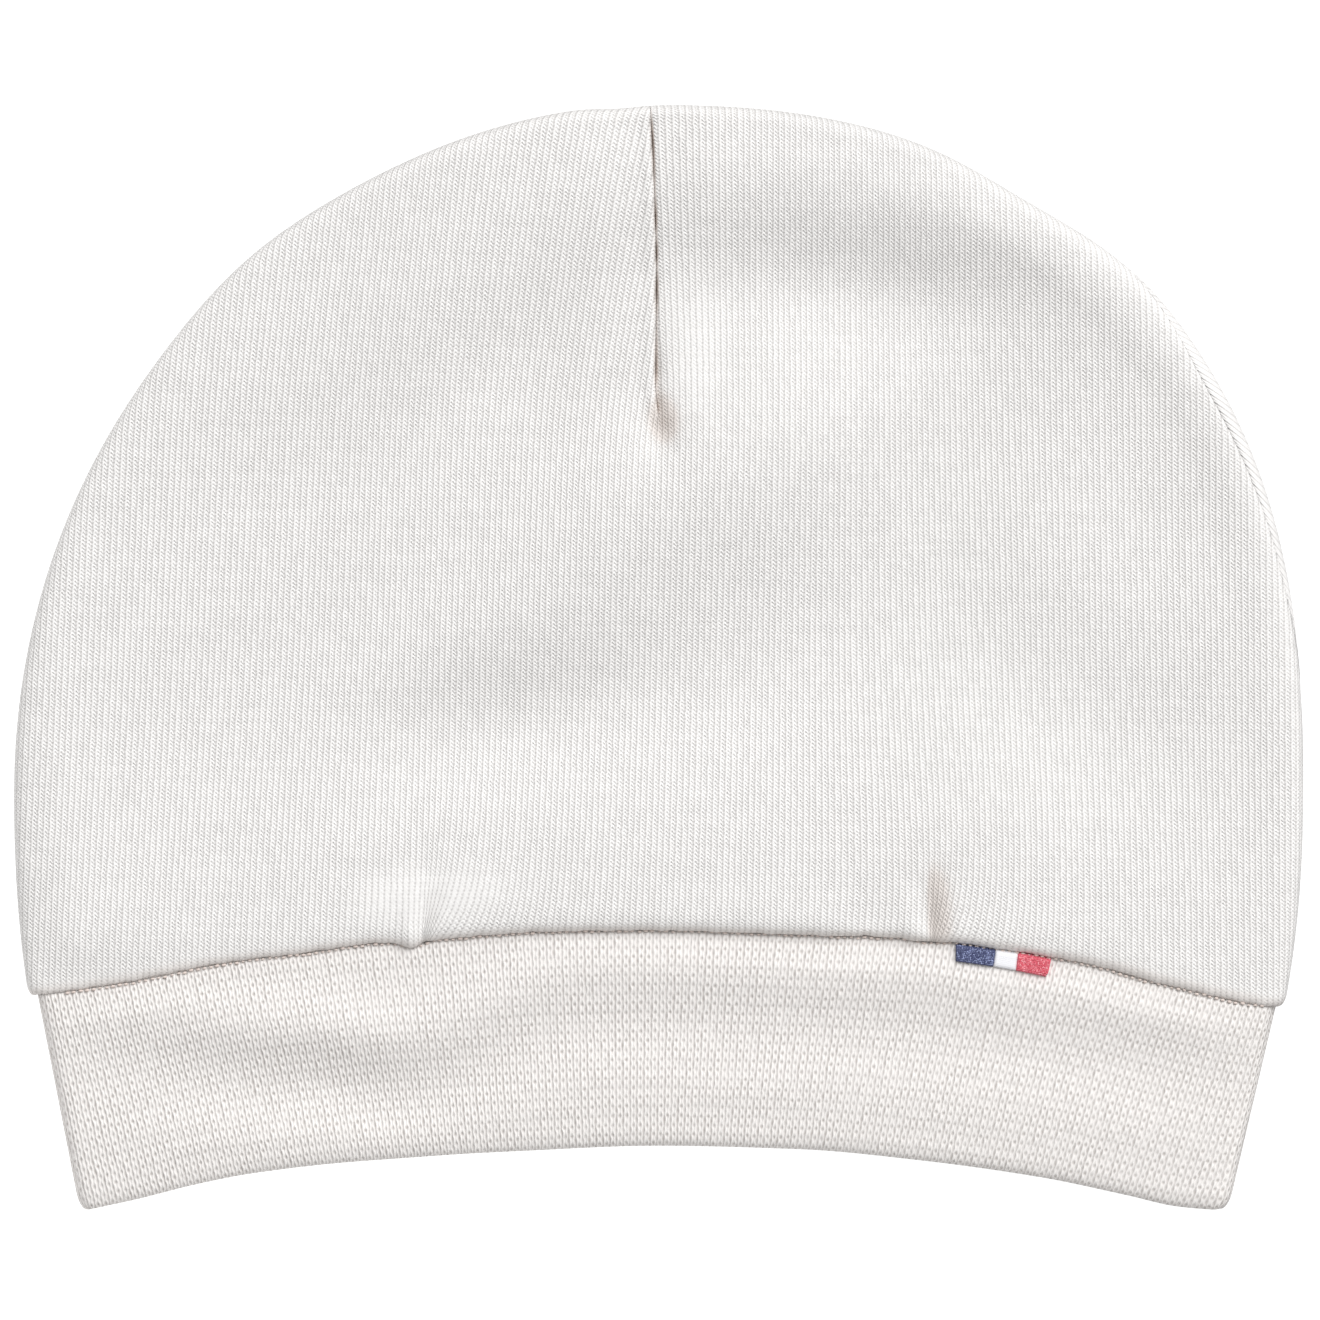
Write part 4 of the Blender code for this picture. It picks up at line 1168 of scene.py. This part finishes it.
def ripple_group():
    """The coarser knit of the band: pale threads that wave round a hole in each wale.

    The holes between two wales are longer, shallower and half a course higher than the ones in the wales.
    """
    group, t, given, out = knit_group("rippled_threads", {
        "Hole": 0.9, "Between Wales": 0.5, "Wave": 0.12, "Wobble": 0.2})
    hole_size = (0.34, 0.19)  # in wales and courses, as the slit's
    slit_size = (0.28, 0.22)
    thread_breadth = 0.5
    hole_chance = (0.5, 0.5)  # what chance adds to a hole, and the least of it
    slit_chance = (0.7, 0.5)
    slit_shape = (0.45, 0.55)  # the same for a slit's middle
    place = wobbled(t, given, scale=0.6)
    aside = t.times(t.math("ABSOLUTE", t.from_middle(place["X"])), 2.0)
    from_hole = t.from_middle(place["Y"])
    half_up = t.math("ADD", place["Y"], 0.5)
    tone = chance(t, place["X"], place["Y"])
    hole = t.times(t.bell(aside, hole_size[0]), t.bell(from_hole, hole_size[1]))
    hole = t.times(hole, t.scaled(tone, *hole_chance), given["Hole"])
    luck = chance(t, t.math("ADD", place["X"], 0.5), half_up)
    slit = t.scaled(t.bell(t.from_middle(half_up), slit_size[1]), *slit_shape)
    slit = t.times(slit, t.scaled(luck, *slit_chance), t.bell(t.math("SUBTRACT", 1.0, aside), slit_size[0]))
    slit = t.times(slit, given["Between Wales"])
    waving = t.scaled(t.math("COSINE", t.times(from_hole, 2 * math.pi)), given["Wave"], 0.5)
    ridge = t.bell(t.math("SUBTRACT", aside, waving), thread_breadth)
    give_knit(t, out, ridge, hole, slit, tone)
    return group


def fibre_group():
    """Fine fuzz of cotton fibres, and the slow unevenness of the yarn."""
    group, t, given, out = new_group(
        "cotton_fibres",
        [("Point", "Vector", None), ("Place", "Vector", None)],
        [("Fuzz", "Float"), ("Unevenness", "Float")],
    )
    t.link(t.noise(given["Point"], FUZZ_SCALE, 3.0)["Fac"], out["Fuzz"])
    stretch = t.add("ShaderNodeMapping", {"Vector": given["Place"], "Scale": SLUB_STRETCH})
    t.link(t.noise(stretch.outputs[0], 1.0, 3.0)["Fac"], out["Unevenness"])
    return group


def new_material(name, roughness, specular):
    material = bpy.data.materials.new(name)
    material.use_nodes = True
    shader = material.node_tree.nodes["Principled BSDF"]
    shader.inputs["Roughness"].default_value = roughness
    shader.inputs["Specular IOR Level"].default_value = specular
    return material, Tree(material.node_tree), shader


def give_looks(t, shader, colour, height, relief):
    t.link(colour, shader.inputs["Base Color"])
    bump = t.add("ShaderNodeBump", {"Height": height, "Distance": relief, "Strength": 1.0})
    t.link(bump.outputs[0], shader.inputs["Normal"])


def cloth_material(name, cloth, loops, fibres):
    """A knitted cotton: loops give the relief and the colour's painted shade in the knit's holes and slits,
    fibres soften both, and a mark paints shade into creases.
    """
    material, t, shader = new_material(name, roughness=0.92, specular=0.25)
    place = t.add("ShaderNodeUVMap", uv_map="Cloth").outputs[0]
    pulled = t.mark("smoothed")
    # crease: the mark of painted shade in creases
    crease = t.mark("crease_shade")
    loop = t.add("ShaderNodeGroup", {"Place": place, **cloth.sizes}, node_tree=loops)
    if "Pulled Flat" in loop.inputs:
        t.link(pulled, loop.inputs["Pulled Flat"])
    fibre = t.add("ShaderNodeGroup", {"Place": place, "Point": t.object_place()}, node_tree=fibres)
    tone = t.scaled(loop.outputs["Tone"], TONE_OF_LOOPS, t.times(fibre.outputs["Unevenness"], TONE_OF_YARN))
    tone = t.scaled(pulled, TONE_OF_FLAT, t.math("ADD", tone, TONE_BASE))
    # painted shade in the knit's holes and slits
    colour = t.vector("SCALE", t.colours(cloth.thread, cloth.gap, loop.outputs["Gap"]), tone)
    # a warm painted shade where the crease shade is faint, then the dark painted crease shade
    colour = t.colours(colour, t.vector("MULTIPLY", colour, CREASE_SHADE_TINT), t.rise(crease, *SHADE_TINT_RANGE))
    colour = t.colours(colour, CREASE_SHADE_COLOUR, crease)
    height = t.scaled(fibre.outputs["Fuzz"], FUZZ_RELIEF, loop.outputs["Height"])
    give_looks(t, shader, colour, height, cloth.relief)
    return material


def thread_material(name, thread, fibres):
    """Woven or sewn thread: dark in its depths, light on chance threads, and striped slantwise like satin."""
    material, t, shader = new_material(name, roughness=0.7, specular=0.35)
    point = t.object_place()
    fibre = t.add("ShaderNodeGroup", {"Point": point, "Place": point}, node_tree=fibres)
    tone = t.mark("tone")
    tone = t.times(tone, tone, THREAD_CHANCE)
    turned = t.add("ShaderNodeMapping", {"Vector": point, "Rotation": (0.0, 0.0, math.radians(SATIN_TURN))})
    sizes = {"Vector": turned.outputs[0], "Scale": SATIN_SCALE, "Distortion": 1.5, "Detail": 1.0}
    wave = t.add("ShaderNodeTexWave", sizes, bands_direction="Y")
    satin = t.times(wave.outputs["Fac"], thread.stripe)
    light = t.math("ADD", t.math("ADD", tone, satin), t.times(fibre.outputs["Fuzz"], THREAD_FUZZ))
    colour = t.colours(thread.dark, thread.light, light)
    give_looks(t, shader, colour, t.math("ADD", satin, fibre.outputs["Fuzz"]), THREAD_RELIEF)
    return material


def add_piece(piece, material, slot, *nodes):
    piece.data.materials.clear()
    piece.data.materials.append(material)
    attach(piece, "root")
    if nodes:
        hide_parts(*nodes)


def add_crown(jersey):
    tuck_crowds = [Crowd(math.asin(tuck.across) / QUARTER, *TUCK_CROWD) for tuck in TUCKS]
    front = crown_panel(
        "crown_front_cloth", 1, FRONT_GRID, [*tuck_crowds, DART_CROWD], FRONT_LIP_CROWD, front_shape)
    add_piece(front, jersey, "jersey", "crown_front")
    back = crown_panel("crown_back_cloth", -1, BACK_GRID, [], BACK_LIP_CROWD, back_shape)
    add_piece(back, jersey, "jersey", "crown_back")


def add_tab(fibres):
    """Three fields. The white one is smooth satin, and the others are woven in loops."""
    loops = woven_loops()
    for number, (name, thread) in enumerate(TAB_THREADS.items()):
        material = thread_material(name, thread, fibres)
        field = tab_mesh(name + "_weave", TAB_ENDS[number], TAB_ENDS[number + 1])
        if name != "tab_white":
            grow(field, loops, {"Radius": LOOP_RADIUS, "Thread": LOOP_THREAD, "Scatter": LOOP_SCATTER,
                                "Seed": number, "Material": material})
        add_piece(field, material, name, name)


def add_stitches(fibres):
    stitches = seam_path()
    thread = thread_material("seam_thread", SEAM_THREAD, fibres)
    grow(stitches, sewn_stitches(), {
        "Pitch": STITCH_PITCH, "Length": STITCH_LENGTH, "Thickness": STITCH_THICKNESS,
        "Scatter": STITCH_SCATTER, "Seed": STITCH_SEED, "Material": thread})
    add_piece(stitches, thread, "jersey")


def make_stage():
    mesh = bpy.data.meshes.new("floor")
    corners = [(x * FLOOR_HALF, y * FLOOR_HALF, -FLOOR_DROP) for x, y in ((-1, -1), (1, -1), (1, 1), (-1, 1))]
    mesh.from_pydata(corners, [], [(0, 1, 2, 3)])
    floor = link_object("floor", mesh)
    material, t, shader = new_material("floor_paper", roughness=1.0, specular=0.0)
    shader.inputs["Base Color"].default_value = (FLOOR_GREY, FLOOR_GREY, FLOOR_GREY, 1)
    shader.inputs["Emission Color"].default_value = (1, 1, 1, 1)
    seen = t.add("ShaderNodeLightPath").outputs["Is Camera Ray"]
    place = t.split(t.object_place())
    to_left = t.times(t.scaled(place["Y"], FLOOR_SLANT, place["X"]), -1.0)
    thrown = t.blend(*FLOOR_LIGHT, t.rise(to_left, *FLOOR_RANGE))
    t.link(t.math("MAXIMUM", seen, thrown), shader.inputs["Emission Strength"])
    mesh.materials.append(material)


def make_lights():
    """An even white surround, and a square soft light from the upper right that faces the hat."""
    world = bpy.data.worlds.new("studio")
    bpy.context.scene.world = world
    world.use_nodes = True
    background = world.node_tree.nodes["Background"]
    background.inputs["Color"].default_value = (1, 1, 1, 1)
    background.inputs["Strength"].default_value = WORLD_LIGHT
    turn, lift = math.radians(KEY_BEARING), math.radians(KEY_HEIGHT)
    away = Vector((math.cos(lift) * math.cos(turn), math.cos(lift) * math.sin(turn), math.sin(lift)))
    light = bpy.data.lights.new("key", "AREA")
    light.shape = "SQUARE"
    light.size = KEY_SIZE
    light.energy = KEY_POWER
    lamp = link_object("key", light)
    lamp.location = away * KEY_DISTANCE
    lamp.rotation_euler = away.to_track_quat("Z", "Y").to_euler()


def make_camera():
    data = bpy.data.cameras.new("camera")
    data.sensor_width = SENSOR
    data.lens = LENS
    data.clip_start, data.clip_end = 0.1, 10
    camera = link_object("camera", data)
    camera.location = (*CAMERA_ASIDE, OUTLINE_HEIGHT + VIEW_WIDTH * LENS / SENSOR)
    bpy.context.scene.camera = camera
    bpy.context.scene.view_settings.view_transform = "Standard"


def main():
    make_camera()
    make_lights()
    make_stage()
    fibres = fibre_group()
    add_crown(cloth_material("jersey", JERSEY_CLOTH, jersey_group(), fibres))
    band_knit = cloth_material("band_knit", BAND_CLOTH, ripple_group(), fibres)
    add_piece(make_band(), band_knit, "band_knit", "band")
    add_tab(fibres)
    add_stitches(fibres)


main()
